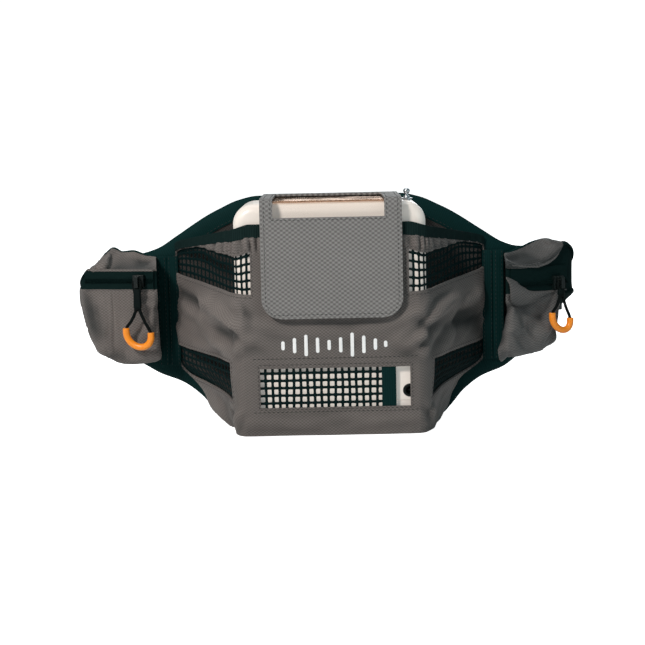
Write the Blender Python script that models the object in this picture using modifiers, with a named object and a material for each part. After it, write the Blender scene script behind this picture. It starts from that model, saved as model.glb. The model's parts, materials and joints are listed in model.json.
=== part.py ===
# Portable oxygen concentrator in its hip bag.
#
# Frame: metres, +Z up, origin at the centre of the bag's flat base. The front
# of the bag faces -Y and the wearer stands at +Y, inside the belt loop.
# "Left" is -X and "right" is +X. All dimensions below are in millimetres and
# are scaled once, where each mesh is made.

import math
from types import SimpleNamespace

import bmesh
import bpy
from mathutils import Matrix, Vector

for old in list(bpy.data.objects):
    bpy.data.objects.remove(old, do_unlink=True)

MM = 0.001
CENTRE = (0.0, 0.0, 0.0)

# -------------------------------------------------------- shared dimensions
# concentrator: the battery forms the foot of the slab, the case the rest
UNIT_HALF_W = 75.0        # half width, X
UNIT_HALF_D = 34.0        # half depth, Y
UNIT_Z0 = 3.0             # underside of the battery
UNIT_Z1 = 182.0           # top of the case
BATTERY_H = 22.5
BATTERY_Z1 = UNIT_Z0 + BATTERY_H
CASE_Z0 = BATTERY_Z1 + 0.5
CASE_CORNER = 16.0        # top corner radius in the front view
CASE_FOOT = 7.0           # bottom corner radius
CASE_RIM = 8.0            # rounding of the front and rear rims
CASE_WALL = 2.4
CAVITY_FLOOR = CASE_Z0 + CASE_WALL

# fabric thicknesses
CLOTH = 1.6               # face fabric with its lining
NET = 0.8
HEM = 1.8
PAD = 8.0                 # padded back panel
POUCH_WALL = 1.8
VINYL_SHEET = 0.6
WEB = 1.6                 # belt webbing

BACK_Y = 42.0             # middle of the padded back panel
FRONT_Y = -38.5           # middle of the front fabric
SEAM_Y = 36.5             # where the front fabric meets the back panel

BELT_Y = 228.2            # belt behind the wearer
BUCKLE_Y = 234.1
BUCKLE_Z = 82.0

# Pouches, one on each wing of the back panel.
# origin: X, Y of the inner corner on the back panel; turn: degrees the pouch swings back
# face: how far the pouch face stands off the back panel
# zip_z, zip_from, zip_to: height and ends of the zip; slider: where the slider rests
# knot, legs, grip: drop to the knot, drop to the grip and radius of the hanging pull
# lean: how far the inner front edge leans in over the seam tape
# stations: distance along the belt, share of the face depth, low z, high z
# wing: distances of the back panel's outer stations past its last fixed one
# belt: X, Y plan points of the webbing from the wing to the buckle
POUCH_LEFT = SimpleNamespace(
    name="left", side=-1, origin=(-144.5, 39.5), turn=12.0, face=33.0,
    zip_z=120.0, zip_from=-9.6, zip_to=49.0, slider=1.8,
    knot=20.0, legs=40.0, grip=10.4, lean=12.0,
    stations=[
        (0.6, 0.80, 53.5, 134.5), (7, 1.0, 52.6, 137), (22, 1.0, 53.2, 138.5),
        (34.5, 1.0, 57.2, 143.5), (46, 0.98, 66, 131.5), (54, 0.84, 77, 122),
        (59.5, 0.5, 90, 114),
    ],
    wing=[15, 30, 45, 60],
    belt=[
        (-209.5, 82), (-210, 112), (-199, 152), (-174, 186), (-143, 210),
        (-114, 223.5), (-93, BELT_Y - 0.1),
    ],
)
# the right pouch is slack: its lower body is tucked in under an overhanging hood
POUCH_RIGHT = SimpleNamespace(
    name="right", side=1, origin=(144.5, 39.5), turn=28.0, face=26.0,
    zip_z=110.0, zip_from=-13.0, zip_to=43.0, slider=31.4,
    knot=9.0, legs=28.0, grip=9.0, lean=17.0,
    stations=[
        (0.6, 0.80, 46.5, 131.5), (7, 1.0, 50, 133.5), (20, 1.0, 55.2, 138),
        (33.5, 0.97, 60, 140.5), (38, 0.95, 95, 142.5), (45, 0.95, 98, 145.5),
        (52, 0.8, 102, 144), (56, 0.4, 108, 134),
    ],
    wing=[14, 28, 42, 55],
    belt=[
        (199, 92), (199, 120), (190, 156), (170, 188), (140, 211),
        (112, 223.5), (92, BELT_Y - 0.1),
    ],
)

# -------------------------------------------------- collections and materials
PARTS = bpy.data.collections.new("hip_bag_oxygen_concentrator")
CUTTERS = bpy.data.collections.new("cutters")
bpy.context.scene.collection.children.link(PARTS)
bpy.context.scene.collection.children.link(CUTTERS)


def material(name, colour, roughness, metallic=0.0, alpha=1.0):
    mat = bpy.data.materials.new(name)
    mat.use_nodes = True
    shader = mat.node_tree.nodes["Principled BSDF"]
    shader.inputs["Base Color"].default_value = (*colour, 1.0)
    shader.inputs["Roughness"].default_value = roughness
    shader.inputs["Metallic"].default_value = metallic
    shader.inputs["Alpha"].default_value = alpha
    return mat


GREY = material("grey_fabric", colour=(0.15, 0.14, 0.14), roughness=0.85)
BLACK = material("black_binding", colour=(0.01, 0.015, 0.015), roughness=0.8)
NETTING = material("black_net", colour=(0.012, 0.014, 0.014), roughness=0.7)
WEBBING = material("black_webbing", colour=(0.012, 0.012, 0.013), roughness=0.75)
VINYL = material("clear_vinyl", colour=(0.85, 0.85, 0.83), roughness=0.12, alpha=0.3)
VELCRO = material("black_velcro", colour=(0.02, 0.02, 0.02), roughness=0.95)
ORANGE = material("orange_grip", colour=(0.95, 0.35, 0.03), roughness=0.45)
BLACK_PLASTIC = material("black_plastic", colour=(0.015, 0.015, 0.016), roughness=0.4)
CREAM = material("cream_case", colour=(0.80, 0.74, 0.68), roughness=0.32)
SILVER = material("silver_panel", colour=(0.42, 0.42, 0.43), roughness=0.35, metallic=0.3)
STEEL = material("steel", colour=(0.72, 0.72, 0.72), roughness=0.22, metallic=1.0)
ALU = material("aluminium", colour=(0.62, 0.63, 0.64), roughness=0.35, metallic=1.0)
PCB = material("circuit_board", colour=(0.02, 0.16, 0.07), roughness=0.5)
GLASS = material("display_glass", colour=(0.05, 0.07, 0.07), roughness=0.06)
RUBBER = material("rubber", colour=(0.02, 0.02, 0.02), roughness=0.8)
TUBING = material("silicone_tube", colour=(0.78, 0.80, 0.80), roughness=0.35)
FOAM = material("filter_foam", colour=(0.05, 0.05, 0.055), roughness=0.95)
CELL = material("cell_wrap", colour=(0.05, 0.22, 0.45), roughness=0.4)


# ------------------------------------------------------------ object helpers
# Every shape helper takes mat=None to make a hidden cutter instead of a part.
def finish(obj, mat):
    """Link a part with its material, or a cutter without one."""
    if mat is None:
        CUTTERS.objects.link(obj)
        obj.hide_render = True
        obj.display_type = "WIRE"
    else:
        obj.data.materials.append(mat)
        PARTS.objects.link(obj)
    return obj


def make_object(name, shape, mat, origin, smooth_angle):
    """Object from a bmesh already in metres about its origin; origin is in mm."""
    mesh = bpy.data.meshes.new(name)
    shape.to_mesh(mesh)
    shape.free()
    if smooth_angle:
        mesh.shade_smooth()
        mesh.set_sharp_from_angle(angle=math.radians(smooth_angle))
    obj = bpy.data.objects.new(name, mesh)
    obj.location = Vector(origin) * MM
    return finish(obj, mat)


def scale_to_metres(shape, origin):
    base = Vector(origin)
    for vert in shape.verts:
        vert.co = (vert.co - base) * MM


def face_outwards(shape):
    bmesh.ops.recalc_face_normals(shape, faces=shape.faces)
    if shape.calc_volume(signed=True) < 0:
        bmesh.ops.reverse_faces(shape, faces=shape.faces)


def solid(name, shape, mat, origin=CENTRE, smooth_angle=40):
    """Object from a closed bmesh in millimetres."""
    face_outwards(shape)
    scale_to_metres(shape, origin)
    return make_object(name, shape, mat, origin, smooth_angle)


def bevel(shape, edges, offset, segments, clamp_overlap=False):
    bmesh.ops.bevel(shape, geom=edges, offset=offset, segments=segments, affect="EDGES",
                    profile=0.5, clamp_overlap=clamp_overlap)


def box(name, low, high, mat=None, frame=None, rounding=0.0, segments=2, origin=CENTRE,
        smooth_angle=40):
    shape = bmesh.new()
    bmesh.ops.create_cube(shape, size=1.0)
    low, high = Vector(low), Vector(high)
    for vert in shape.verts:
        vert.co = Vector([(low[k] + high[k]) / 2 + vert.co[k] * (high[k] - low[k])
                          for k in range(3)])
    if rounding:
        bevel(shape, shape.edges[:], rounding, segments)
    if frame is not None:
        shape.transform(frame)
    return solid(name, shape, mat, origin, smooth_angle)


# turns from Z to each axis
AXIS_TURN = {
    "X": Matrix.Rotation(math.radians(90), 4, "Y"),
    "Y": Matrix.Rotation(math.radians(-90), 4, "X"),
    "Z": Matrix.Identity(4),
}


def cylinder(name, radius, start, end, axis, centre, mat=None, segments=24, rim=0.0,
             origin=CENTRE):
    """Cylinder from start to end on an axis. centre gives the other two coordinates
    in X, Y, Z order; rim rounds the edges of both ends."""
    shape = bmesh.new()
    bmesh.ops.create_cone(shape, cap_ends=True, segments=segments, radius1=radius,
                          radius2=radius, depth=end - start)
    shape.transform(AXIS_TURN[axis])
    place = list(centre)
    place.insert("XYZ".index(axis), (start + end) / 2)
    shape.transform(Matrix.Translation(place))
    if rim:
        edges = [e for e in shape.edges
                 if len(e.link_faces) == 2 and e.calc_face_angle(0) > 1.0]
        bevel(shape, edges, rim, 2)
    return solid(name, shape, mat, origin)


def shape_from_curve(name, curve, points, closed, weld):
    """Bmesh of a poly curve through the points, doubles closer than weld merged."""
    spline = curve.splines.new("POLY")
    spline.points.add(len(points) - 1)
    for target, point in zip(spline.points, points):
        target.co = (*point, 1.0)
    spline.use_cyclic_u = closed
    guide = bpy.data.objects.new(name + "_guide", curve)
    bpy.context.scene.collection.objects.link(guide)
    bpy.context.view_layer.update()
    depsgraph = bpy.context.evaluated_depsgraph_get()
    mesh = bpy.data.meshes.new_from_object(guide.evaluated_get(depsgraph))
    shape = bmesh.new()
    shape.from_mesh(mesh)
    bmesh.ops.remove_doubles(shape, verts=shape.verts, dist=weld)
    bpy.data.objects.remove(guide)
    bpy.data.curves.remove(curve)
    bpy.data.meshes.remove(mesh)
    return shape


SWAP_Y_Z = Matrix(((1, 0, 0, 0), (0, 0, 1, 0), (0, 1, 0, 0), (0, 0, 0, 1)))


def plate(name, outline, start, end, axis, mat=None, rounding=0.0, segments=2):
    """Flat outline extruded from start to end. Its points are X, Y for axis Z and
    X, Z for axis Y; rounding softens the rims of both flat faces."""
    curve = bpy.data.curves.new(name + "_outline", "CURVE")
    curve.dimensions = "2D"
    curve.fill_mode = "BOTH"
    curve.extrude = (end - start) / 2
    points = [(*point, 0.0) for point in outline]
    shape = shape_from_curve(name, curve, points, closed=True, weld=1e-4)
    if axis == "Y":
        shape.transform(SWAP_Y_Z)
    k = "XYZ".index(axis)
    shift = Vector()
    shift[k] = (start + end) / 2
    shape.transform(Matrix.Translation(shift))
    bmesh.ops.recalc_face_normals(shape, faces=shape.faces)
    if rounding:
        rims = []
        for edge in shape.edges:
            level = abs(edge.verts[0].co[k] - edge.verts[1].co[k]) < 1e-5
            flat = [abs(face.normal[k]) > 0.99 for face in edge.link_faces]
            if level and len(flat) == 2 and any(flat) and not all(flat):
                rims.append(edge)
        bevel(shape, rims, rounding, segments)
    return solid(name, shape, mat)


def sheet(name, point, columns, rows, thickness, mat, skip=None, origin=CENTRE):
    """Curved open surface from a grid, thickened both ways by Solidify.
    point(column, row) gives millimetres; skip(i, j) leaves a cell out."""
    last_i, last_j = len(columns) - 1, len(rows) - 1
    shape = bmesh.new()
    bmesh.ops.create_grid(shape, x_segments=last_i, y_segments=last_j, size=1.0)
    index = {v: (round((v.co.x + 1) / 2 * last_i), round((v.co.y + 1) / 2 * last_j))
             for v in shape.verts}
    gone = []
    for face in shape.faces:
        i = min(index[v][0] for v in face.verts)
        j = min(index[v][1] for v in face.verts)
        if skip and skip(i, j):
            gone.append(face)
    for vert, (i, j) in index.items():
        vert.co = Vector(point(columns[i], rows[j]))
    if gone:
        bmesh.ops.delete(shape, geom=gone, context="FACES")
    scale_to_metres(shape, origin)
    obj = make_object(name, shape, mat, origin, smooth_angle=50)
    solidify = obj.modifiers.new("thickness", "SOLIDIFY")
    solidify.thickness = thickness * MM
    solidify.offset = 0.0
    solidify.use_even_offset = False
    return obj


def tube(name, points, radius, mat=None, resolution=1, origin=CENTRE):
    """Round rod or hose along straight runs between points."""
    base = Vector(origin)
    curve = bpy.data.curves.new(name + "_path", "CURVE")
    curve.dimensions = "3D"
    curve.bevel_depth = radius * MM
    curve.bevel_resolution = resolution
    curve.use_fill_caps = True
    metres = [(Vector(point) - base) * MM for point in points]
    shape = shape_from_curve(name, curve, metres, closed=False, weld=1e-6)
    face_outwards(shape)
    return make_object(name, shape, mat, origin, smooth_angle=60)


def loft(name, sections, mat):
    """Closed loft through loops of the same number of points."""
    shape = bmesh.new()
    loops = []
    for section in sections:
        verts = [shape.verts.new(point) for point in section]
        edges = [shape.edges.new(pair) for pair in zip(verts, verts[1:] + verts[:1])]
        loops.append((verts, edges))
    for (_, edges), (_, next_edges) in zip(loops, loops[1:]):
        bmesh.ops.bridge_loops(shape, edges=edges + next_edges)
    for verts, _ in (loops[0], loops[-1]):
        shape.faces.new(verts)
    return solid(name, shape, mat, smooth_angle=50)


def cut(obj, cutter, operation="DIFFERENCE"):
    modifier = obj.modifiers.new(operation.lower() + "_" + cutter.name, "BOOLEAN")
    modifier.operation = operation
    modifier.object = cutter
    modifier.solver = "EXACT"


def add(obj, other):
    cut(obj, other, "UNION")


def span(side, near, far):
    """Low and high X of a range given outwards from the centre on one side."""
    return sorted((side * near, side * far))


def smoothstep(share):
    return share * share * (3 - 2 * share)


def smooth_path(points, steps):
    """Catmull-Rom points through the given ones, steps per span."""
    points = [Vector(point) for point in points]
    path = []
    for i in range(len(points) - 1):
        before, start, end = points[max(i - 1, 0)], points[i], points[i + 1]
        after = points[min(i + 2, len(points) - 1)]
        for k in range(steps):
            share = k / steps
            path.append(0.5 * (
                2 * start + (end - before) * share
                + (2 * before - 5 * start + 4 * end - after) * share * share
                + (3 * start - before - 3 * end + after) * share ** 3))
    path.append(points[-1])
    return path


def between(table, x):
    """Straight-line interpolation in a list of (x, value)."""
    if x <= table[0][0]:
        return table[0][1]
    for (x0, value0), (x1, value1) in zip(table, table[1:]):
        if x <= x1:
            return value0 + (value1 - value0) * (x - x0) / (x1 - x0)
    return table[-1][1]


# =====================================================================
# THE BAG
# =====================================================================
# ------------------------------------------------------------- front fabric
# The front fabric wraps the case and sweeps back to the side seams. Columns
# run from the left seam (-12) to the right seam (12). Each has an X, Y plan
# position high up, where the wings are wide, and one at the base.
SEAM_COL = 12
MIDDLE_PLAN = [(0, FRONT_Y), (20, FRONT_Y), (39, FRONT_Y), (49.5, FRONT_Y), (61, FRONT_Y),
               (68, -38.0)]
UPPER_PLAN = MIDDLE_PLAN + [(74.5, -33.5), (80, -25), (90, -9.5), (101, 6), (112, 20),
                            (122, 31.5), (126.5, SEAM_Y)]
BASE_PLAN = MIDDLE_PLAN + [(74, -34), (77, -27), (79, -13), (81, 0), (84, 13), (87, 29),
                           (88, SEAM_Y)]
LEFT_X = {1: 19, 2: 38, 3: 56.5, 4: 62}   # columns that differ on the left

# heights of rows 0 to 12 at the middle, at the front corners and at the seams
MOUTH_ROW = 12
ROW_CENTRE = [0, 8, 15, 22.2, 38, 53.5, 72, 92, 112, 129, 146, 156.5, 166.5]
ROW_CORNER = [0, 8, 16, 26, 41.5, 57, 74, 94, 113, 129, 145, 153, 161.5]
ROW_SEAM = [0, 10, 24, 40, 52, 64, 83, 104, 124, 131, 137.5, 141, 147.5]
CENTRE_COL, CORNER_COL = 4, 7   # row heights blend between these columns and the seam

# height, share of the way from the base plan to the upper plan
SPREAD = [(0, 0.0), (10, 0.2), (20, 0.34), (33, 0.62), (46, 1.0)]

COLS = list(range(-SEAM_COL, SEAM_COL + 1))
NORMAL_STEP = 0.25   # share of a cell used to find the surface's slope
NET_DEPTH = 1.7      # nets lie this far inside the middle of the fabric
BASE_INSET = 1.3
BASE_REAR_Y = 37.4


def column(table, col):
    x, y = table[abs(col)]
    if col < 0:
        x = -LEFT_X.get(-col, x)
    return Vector((x, y))


def plan_point(table, col):
    inner = math.floor(col) if col < SEAM_COL else SEAM_COL - 1
    return column(table, inner).lerp(column(table, inner + 1), col - inner)


def row_z(col, row):
    """Height of the fabric at a column and row, fractions allowed."""
    j = min(int(row), MOUTH_ROW - 1)
    share = row - j
    middle, corner, seam = (heights[j] * (1 - share) + heights[j + 1] * share
                            for heights in (ROW_CENTRE, ROW_CORNER, ROW_SEAM))
    reach = abs(col)
    if reach <= CENTRE_COL:
        return middle
    if reach <= CORNER_COL:
        return middle + (corner - middle) * (reach - CENTRE_COL) / (CORNER_COL - CENTRE_COL)
    return corner + (seam - corner) * (reach - CORNER_COL) / (SEAM_COL - CORNER_COL)


def surface(col, row):
    z = row_z(col, row)
    plan = plan_point(BASE_PLAN, col).lerp(plan_point(UPPER_PLAN, col), between(SPREAD, z))
    return Vector((plan.x, plan.y, z))


def inner_surface(depth):
    """The same surface moved inwards by depth, as a function of column and row."""
    def point(col, row):
        col0, col1 = max(col - NORMAL_STEP, -SEAM_COL), min(col + NORMAL_STEP, SEAM_COL)
        row0, row1 = max(row - NORMAL_STEP, 0), min(row + NORMAL_STEP, MOUTH_ROW)
        along = surface(col1, row) - surface(col0, row)
        up = surface(col, row1) - surface(col, row0)
        outward = along.cross(up).normalized()
        return surface(col, row) - outward * depth
    return point


def in_window(i, j):
    """Cells of the front fabric that are open; j counts rows from the base."""
    col = i - SEAM_COL
    if j in (3, 4):
        vent = -3 <= col < 2
        socket_slot = col == 3
        lower_side = 7 <= col < 11 or -11 <= col < -7
        return vent or socket_slot or lower_side
    if j in (8, 9):
        return 4 <= col < 11 or -11 <= col < -4   # upper side windows
    return False


def build_front_fabric():
    sheet("front_fabric", surface, COLS, list(range(MOUTH_ROW)), CLOTH, GREY, in_window)


def build_nets():
    inside = inner_surface(NET_DEPTH)
    sheet("net_front", inside, [-3.25, -3, -2, -1, 0, 1, 2, 2.2], [2.75, 3, 4, 5, 5.15],
          NET, NETTING)
    # each side net is an L: the part below the upper window stops behind the lower one
    side_rows = [2.8, 3, 4, 5, 6, 7, 7.8, 8, 9, 10, 10.3]
    sheet("net_side_left", inside, [-11.3, -11, -10, -9, -8, -7, -6.7, -6, -5, -4, -3.3],
          side_rows, NET, NETTING, lambda i, j: i >= 6 and j < 6)
    sheet("net_side_right", inside, [3.3, 4, 5, 6, 6.7, 7, 8, 9, 10, 11, 11.3],
          side_rows, NET, NETTING, lambda i, j: i < 4 and j < 6)


def build_mouth_hem():
    """Elastic hem round the mouth of the pocket, just above the front fabric."""
    sheet("mouth_hem", surface, COLS, [MOUTH_ROW - 0.94, MOUTH_ROW], HEM, BLACK)


def build_base_panel():
    """Flat stiffened panel inside the foot of the front fabric."""
    inside = inner_surface(BASE_INSET)
    outline = [tuple(inside(col, 0.0).xy) for col in COLS]
    for end in (0, -1):
        outline[end] = (outline[end][0], BASE_REAR_Y)
    plate("base_panel", outline, 0.0, 2.4, "Z", GREY)


# --------------------------------------------------------------- back panel
# X, Y, low z, high z of stations 0 to 8, mirrored on the left
BACK_STATIONS = [
    (0, BACK_Y, 0.4, 183.4), (30, BACK_Y, 0.4, 183.4), (58, BACK_Y, 0.4, 183.6),
    (74, BACK_Y, 0.4, 180.5), (90, BACK_Y, 1.0, 173.5), (98, BACK_Y, 8.5, 169.5),
    (108, BACK_Y, 20.5, 163.5), (124, 42.4, 32.5, 153), (143, 43.5, 40, 141.5),
]
# low z, high z of the stations on the turned wing, 9 to 12
WING_HEIGHTS = [(48, 137.5), (54, 136.5), (60, 134), (70, 124)]


def pouch_axes(pouch):
    """Unit vectors along the belt outwards, and out of the pouch face."""
    turn = math.radians(pouch.turn)
    along = Vector((pouch.side * math.cos(turn), math.sin(turn), 0))
    outward = Vector((pouch.side * math.sin(turn), -math.cos(turn), 0))
    return along, outward


def wing_point(pouch, k):
    """Plan point of a wing station; -1 is the tip."""
    x, y = BACK_STATIONS[-1][:2]
    along, _ = pouch_axes(pouch)
    return Vector((pouch.side * x, y, 0)) + along * pouch.wing[k]


def back_point(station, share):
    """Point of the back panel; negative stations are on the left."""
    k = abs(station)
    side = -1 if station < 0 else 1
    if k < len(BACK_STATIONS):
        x, y, low, high = BACK_STATIONS[k]
        x *= side
    else:
        k -= len(BACK_STATIONS)
        x, y, _ = wing_point(POUCH_LEFT if side < 0 else POUCH_RIGHT, k)
        low, high = WING_HEIGHTS[k]
    return (x, y, low + (high - low) * share)


def build_back_panel():
    last = len(BACK_STATIONS) + len(WING_HEIGHTS) - 1
    sheet("back_panel", back_point, list(range(-last, last + 1)), [0, 0.34, 0.67, 1],
          PAD, BLACK)


def build_seam_tapes():
    """Upright tapes over the seams between the wings and the pouches."""
    for side, tag in ((-1, "left"), (1, "right")):
        x0, x1 = span(side, 127.9, 142.5)
        box(f"seam_tape_{tag}", (x0, 35.7, 46), (x1, 37.5, 137), BLACK,
            rounding=0.4, segments=1)


# ------------------------------------------------------------------ pouches
LEAN_END = 26.0     # the lean fades out by this distance along the belt
TAPE_GAP = 0.4      # from the pouch face to the zip tape
CORD_OUT = 8.45     # from the back of the tape to the middle of the cord
CORD_R = 1.05
GRIP_R = 2.8
GRIP_BORE_R = 1.5
GRIP_STEPS = 8
CORD_END = 0.3      # half the gap between the cord's ends inside the grip


def pouch_frame(pouch):
    """From the pouch's own axes (along the belt, out of the face, up) to the bag's."""
    along, outward = pouch_axes(pouch)
    frame = Matrix((along, outward, Vector((0, 0, 1)))).transposed().to_4x4()
    frame.translation = Vector((*pouch.origin, 0))
    return frame


def in_bag(pouch, points):
    frame = pouch_frame(pouch)
    return [frame @ Vector(point) for point in points]


def lean(pouch, along, out):
    """How far inwards the cloth at distance out from the back panel leans."""
    share = min(max(along / LEAN_END, 0.0), 1.0)
    return pouch.lean * (out / pouch.face) * (1 - smoothstep(share))


def pouch_section(pouch, along, depth_share, low, high):
    face = pouch.face * depth_share
    z = pouch.zip_z
    top = min(high - 4, z + 9.0)
    # distance out of the back panel, height
    points = [
        (0.6, low + 5), (face * 0.25, low), (face * 0.7, low + 2),
        (face, min(low + 14, z - 10)), (face, min(max(z - 12, low + 16), z - 8)),
        (face, top), (face * 0.65, (top + high) / 2 + 3), (0.6, high),
    ]
    return [(along - lean(pouch, along, out), out, height) for out, height in points]


def zip_box(pouch, name, along, out, half_height, mat=None, origin=CENTRE):
    """Box centred on the zip's height; along and out are (low, high) ranges."""
    z = pouch.zip_z
    return box(name, (along[0], out[0], z - half_height), (along[1], out[1], z + half_height),
               mat, frame=pouch_frame(pouch), origin=origin)


def build_pouch_shell(pouch):
    sections = [in_bag(pouch, pouch_section(pouch, *station)) for station in pouch.stations]
    shell = loft("pouch_" + pouch.name, sections, GREY)
    wall = shell.modifiers.new("wall", "SOLIDIFY")
    wall.thickness = POUCH_WALL * MM
    wall.offset = -1
    cut(shell, zip_box(pouch, f"pouch_{pouch.name}_slot",
                       (pouch.zip_from + 2, pouch.zip_to - 2),
                       (pouch.face - 5, pouch.face + 6), 3))


def build_zipper(pouch):
    """Tape with its coil."""
    along = (pouch.zip_from, pouch.zip_to)
    seat = pouch.face + TAPE_GAP
    tape = zip_box(pouch, "zipper_" + pouch.name, along, (seat, seat + 1.2), 6.5, BLACK)
    add(tape, zip_box(pouch, "coil_" + pouch.name, along, (seat + 0.6, seat + 2.6), 1.7))


def build_zip_slider(pouch):
    """A channel over the coil with a bail on top."""
    tag = pouch.name
    seat = pouch.face + TAPE_GAP

    def slider_box(name, half_length, out0, out1, half_height, mat=None, origin=CENTRE):
        along = (pouch.slider - half_length, pouch.slider + half_length)
        return zip_box(pouch, f"{name}_{tag}", along, (seat + out0, seat + out1),
                       half_height, mat, origin)

    pivot = in_bag(pouch, [(pouch.slider, seat, pouch.zip_z)])[0]
    body = slider_box("zip_slider", 4.5, 1.6, 6.0, 5.2, BLACK_PLASTIC, pivot)
    cut(body, slider_box("channel", 9, 0, 3.1, 2.2))
    add(body, slider_box("bail", 1.6, 5.4, 11.6, 4.6))
    cut(body, slider_box("eye", 5, 6.7, 10.2, 3.0))


def build_zip_pull(pouch):
    """Cord through the bail, down to the knot, then out to both ends of the grip."""
    tag, z, middle, radius = pouch.name, pouch.zip_z, pouch.slider, pouch.grip
    knot, legs = pouch.knot, pouch.legs
    out = pouch.face + TAPE_GAP + CORD_OUT
    # outer half of the cord, from the grip up to the bail
    outer = [
        (middle + radius, out, z - legs),
        (middle + radius * 0.62, out, z - (knot + legs) / 2 - 1),
        (middle + 1.7, out, z - knot - 2),
        (middle + 2.9, out, z - 5.0),
        (middle + 3.1, out, z - 1.5),
        (middle + 2.4, out, z),
    ]
    inner = [(2 * middle - along, out, height) for along, out, height in outer]
    grip_z = z - legs - 2
    arc = []
    for i in range(GRIP_STEPS + 1):
        angle = math.radians(180 + 180 * i / GRIP_STEPS)
        arc.append((middle + radius * math.cos(angle), out,
                    grip_z + radius * math.sin(angle)))
    # the ends of the cord stop short of each other at the bottom of the grip
    bottom = grip_z - radius
    run = ([(middle - CORD_END, out, bottom)] + arc[3::-1] + inner
           + outer[::-1] + arc[:4:-1] + [(middle + CORD_END, out, bottom)])
    pivot = in_bag(pouch, [(middle, out, z)])[0]
    cord = tube("pull_cord_" + tag, in_bag(pouch, run), CORD_R, BLACK, origin=pivot)
    add(cord, box("pull_knot_" + tag, (middle - 3.2, out - 2.4, z - knot - 5),
                  (middle + 3.2, out + 2.4, z - knot + 2), frame=pouch_frame(pouch)))
    grip = tube("pull_grip_" + tag, in_bag(pouch, arc), GRIP_R, ORANGE, resolution=2,
                origin=pivot)
    # the bore runs out past both ends of the grip
    beyond = Vector((0, 0, 4))
    bore = [Vector(arc[0]) + beyond, *arc, Vector(arc[-1]) + beyond]
    cut(grip, tube("grip_bore_" + tag, in_bag(pouch, bore), GRIP_BORE_R))


def build_pouches():
    for pouch in (POUCH_LEFT, POUCH_RIGHT):
        build_pouch_shell(pouch)
        build_zipper(pouch)
        build_zip_slider(pouch)
        build_zip_pull(pouch)


# --------------------------------------------------------------------- flap
FLAP_HALF_W = 56.5
FLAP_CORNER = 16.0        # radius of the two bottom corners
FLAP_TOP_Z = 185.4
FLAP_BOTTOM_Z = 93.0
FLAP_REAR_Y = 45.5        # the sewn rear edge
CREASE_R = 6.0            # bend where the front of the flap folds down
CREASE_Y = -37.0
CREASE_Z = FLAP_TOP_Z - CREASE_R
FLAP_FRONT_Y = CREASE_Y - CREASE_R
FLAP_X = [-FLAP_HALF_W, -55.2, -51.5, -46, -43.5, -40.5, -20, 0,
          20, 40.5, 42.5, 46, 51.5, 55.2, FLAP_HALF_W]
WINDOW_COLUMNS = range(4, 10)   # cells of FLAP_X left open for the window
# heights of the front part's rows; the last row follows the bottom edge
FLAP_ROWS = [CREASE_Z - 0.5, 171.5, 150, 130, 112]
WINDOW_DEPTH = 1.7        # the clear window lies this far under the flap


def crease_arc(radius):
    """Y, Z points round the crease, from the top to the front."""
    angles = [math.radians(90 + 90 * i / 4) for i in range(5)]
    return [(CREASE_Y + radius * math.cos(a), CREASE_Z + radius * math.sin(a))
            for a in angles]


def flap_bottom(x):
    past = abs(x) - (FLAP_HALF_W - FLAP_CORNER)
    if past <= 0:
        return FLAP_BOTTOM_Z
    return FLAP_BOTTOM_Z + FLAP_CORNER - math.sqrt(max(FLAP_CORNER ** 2 - past ** 2, 0))


def build_flap_top():
    path = [(y, FLAP_TOP_Z) for y in (FLAP_REAR_Y, 36, 28, 0, -24)] + crease_arc(CREASE_R)
    sheet("flap_top", lambda x, k: (x, *path[k]), FLAP_X, list(range(len(path))), CLOTH,
          GREY, lambda i, j: i in WINDOW_COLUMNS and j >= 2,
          origin=(0, FLAP_REAR_Y, FLAP_TOP_Z))


def build_flap_front():
    """The hanging part; its origin is on the outer face of the fabric at the fold."""
    def point(x, k):
        z = FLAP_ROWS[k] if k < len(FLAP_ROWS) else flap_bottom(x)
        return (x, FLAP_FRONT_Y, z)

    sheet("flap_front", point, FLAP_X, list(range(len(FLAP_ROWS) + 1)), CLOTH, GREY,
          lambda i, j: i in WINDOW_COLUMNS and j == 0,
          origin=(0, FLAP_FRONT_Y - CLOTH / 2, CREASE_Z - 0.3))


def build_flap_window():
    """One bent sheet under the opening, its front end a free tongue behind the front."""
    path = [(y, FLAP_TOP_Z - WINDOW_DEPTH) for y in (31.0, 0, -24)]
    path += crease_arc(CREASE_R - WINDOW_DEPTH)
    path.append((path[-1][0], 168.5))
    sheet("flap_window", lambda x, k: (x, *path[k]), [-46.5, 0, 46.0],
          list(range(len(path))), VINYL_SHEET, VINYL)


def build_hook_tape():
    """Inside the front of the flap; it grips the face of the front fabric."""
    box("hook_tape", (-38, -41.9, 99), (38, -40.0, 121), VELCRO)


# --------------------------------------------------------------------- belt
WEB_H = 38.0
WING_BELT_Z = 100         # height of the belt at the wings
BELT_BEHIND = 5.4         # belt behind the middle of the wing
BAR_INNER, BAR_OUTER = 30.0, 35.0   # X range of the strap bar of both buckle halves
SLOT_INNER = 24.2
FEMALE_HALF_T = 5.6
MALE_HALF_T = 5.0


def belt_plan(pouch):
    """Plan points from under the wing tip round to the buckle."""
    along, outward = pouch_axes(pouch)
    tip = wing_point(pouch, -1) - outward * BELT_BEHIND
    bend = smooth_path([tip + along * 2] + [Vector((x, y, 0)) for x, y in pouch.belt], 2)
    return [tip - along * 14] + bend


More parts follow.
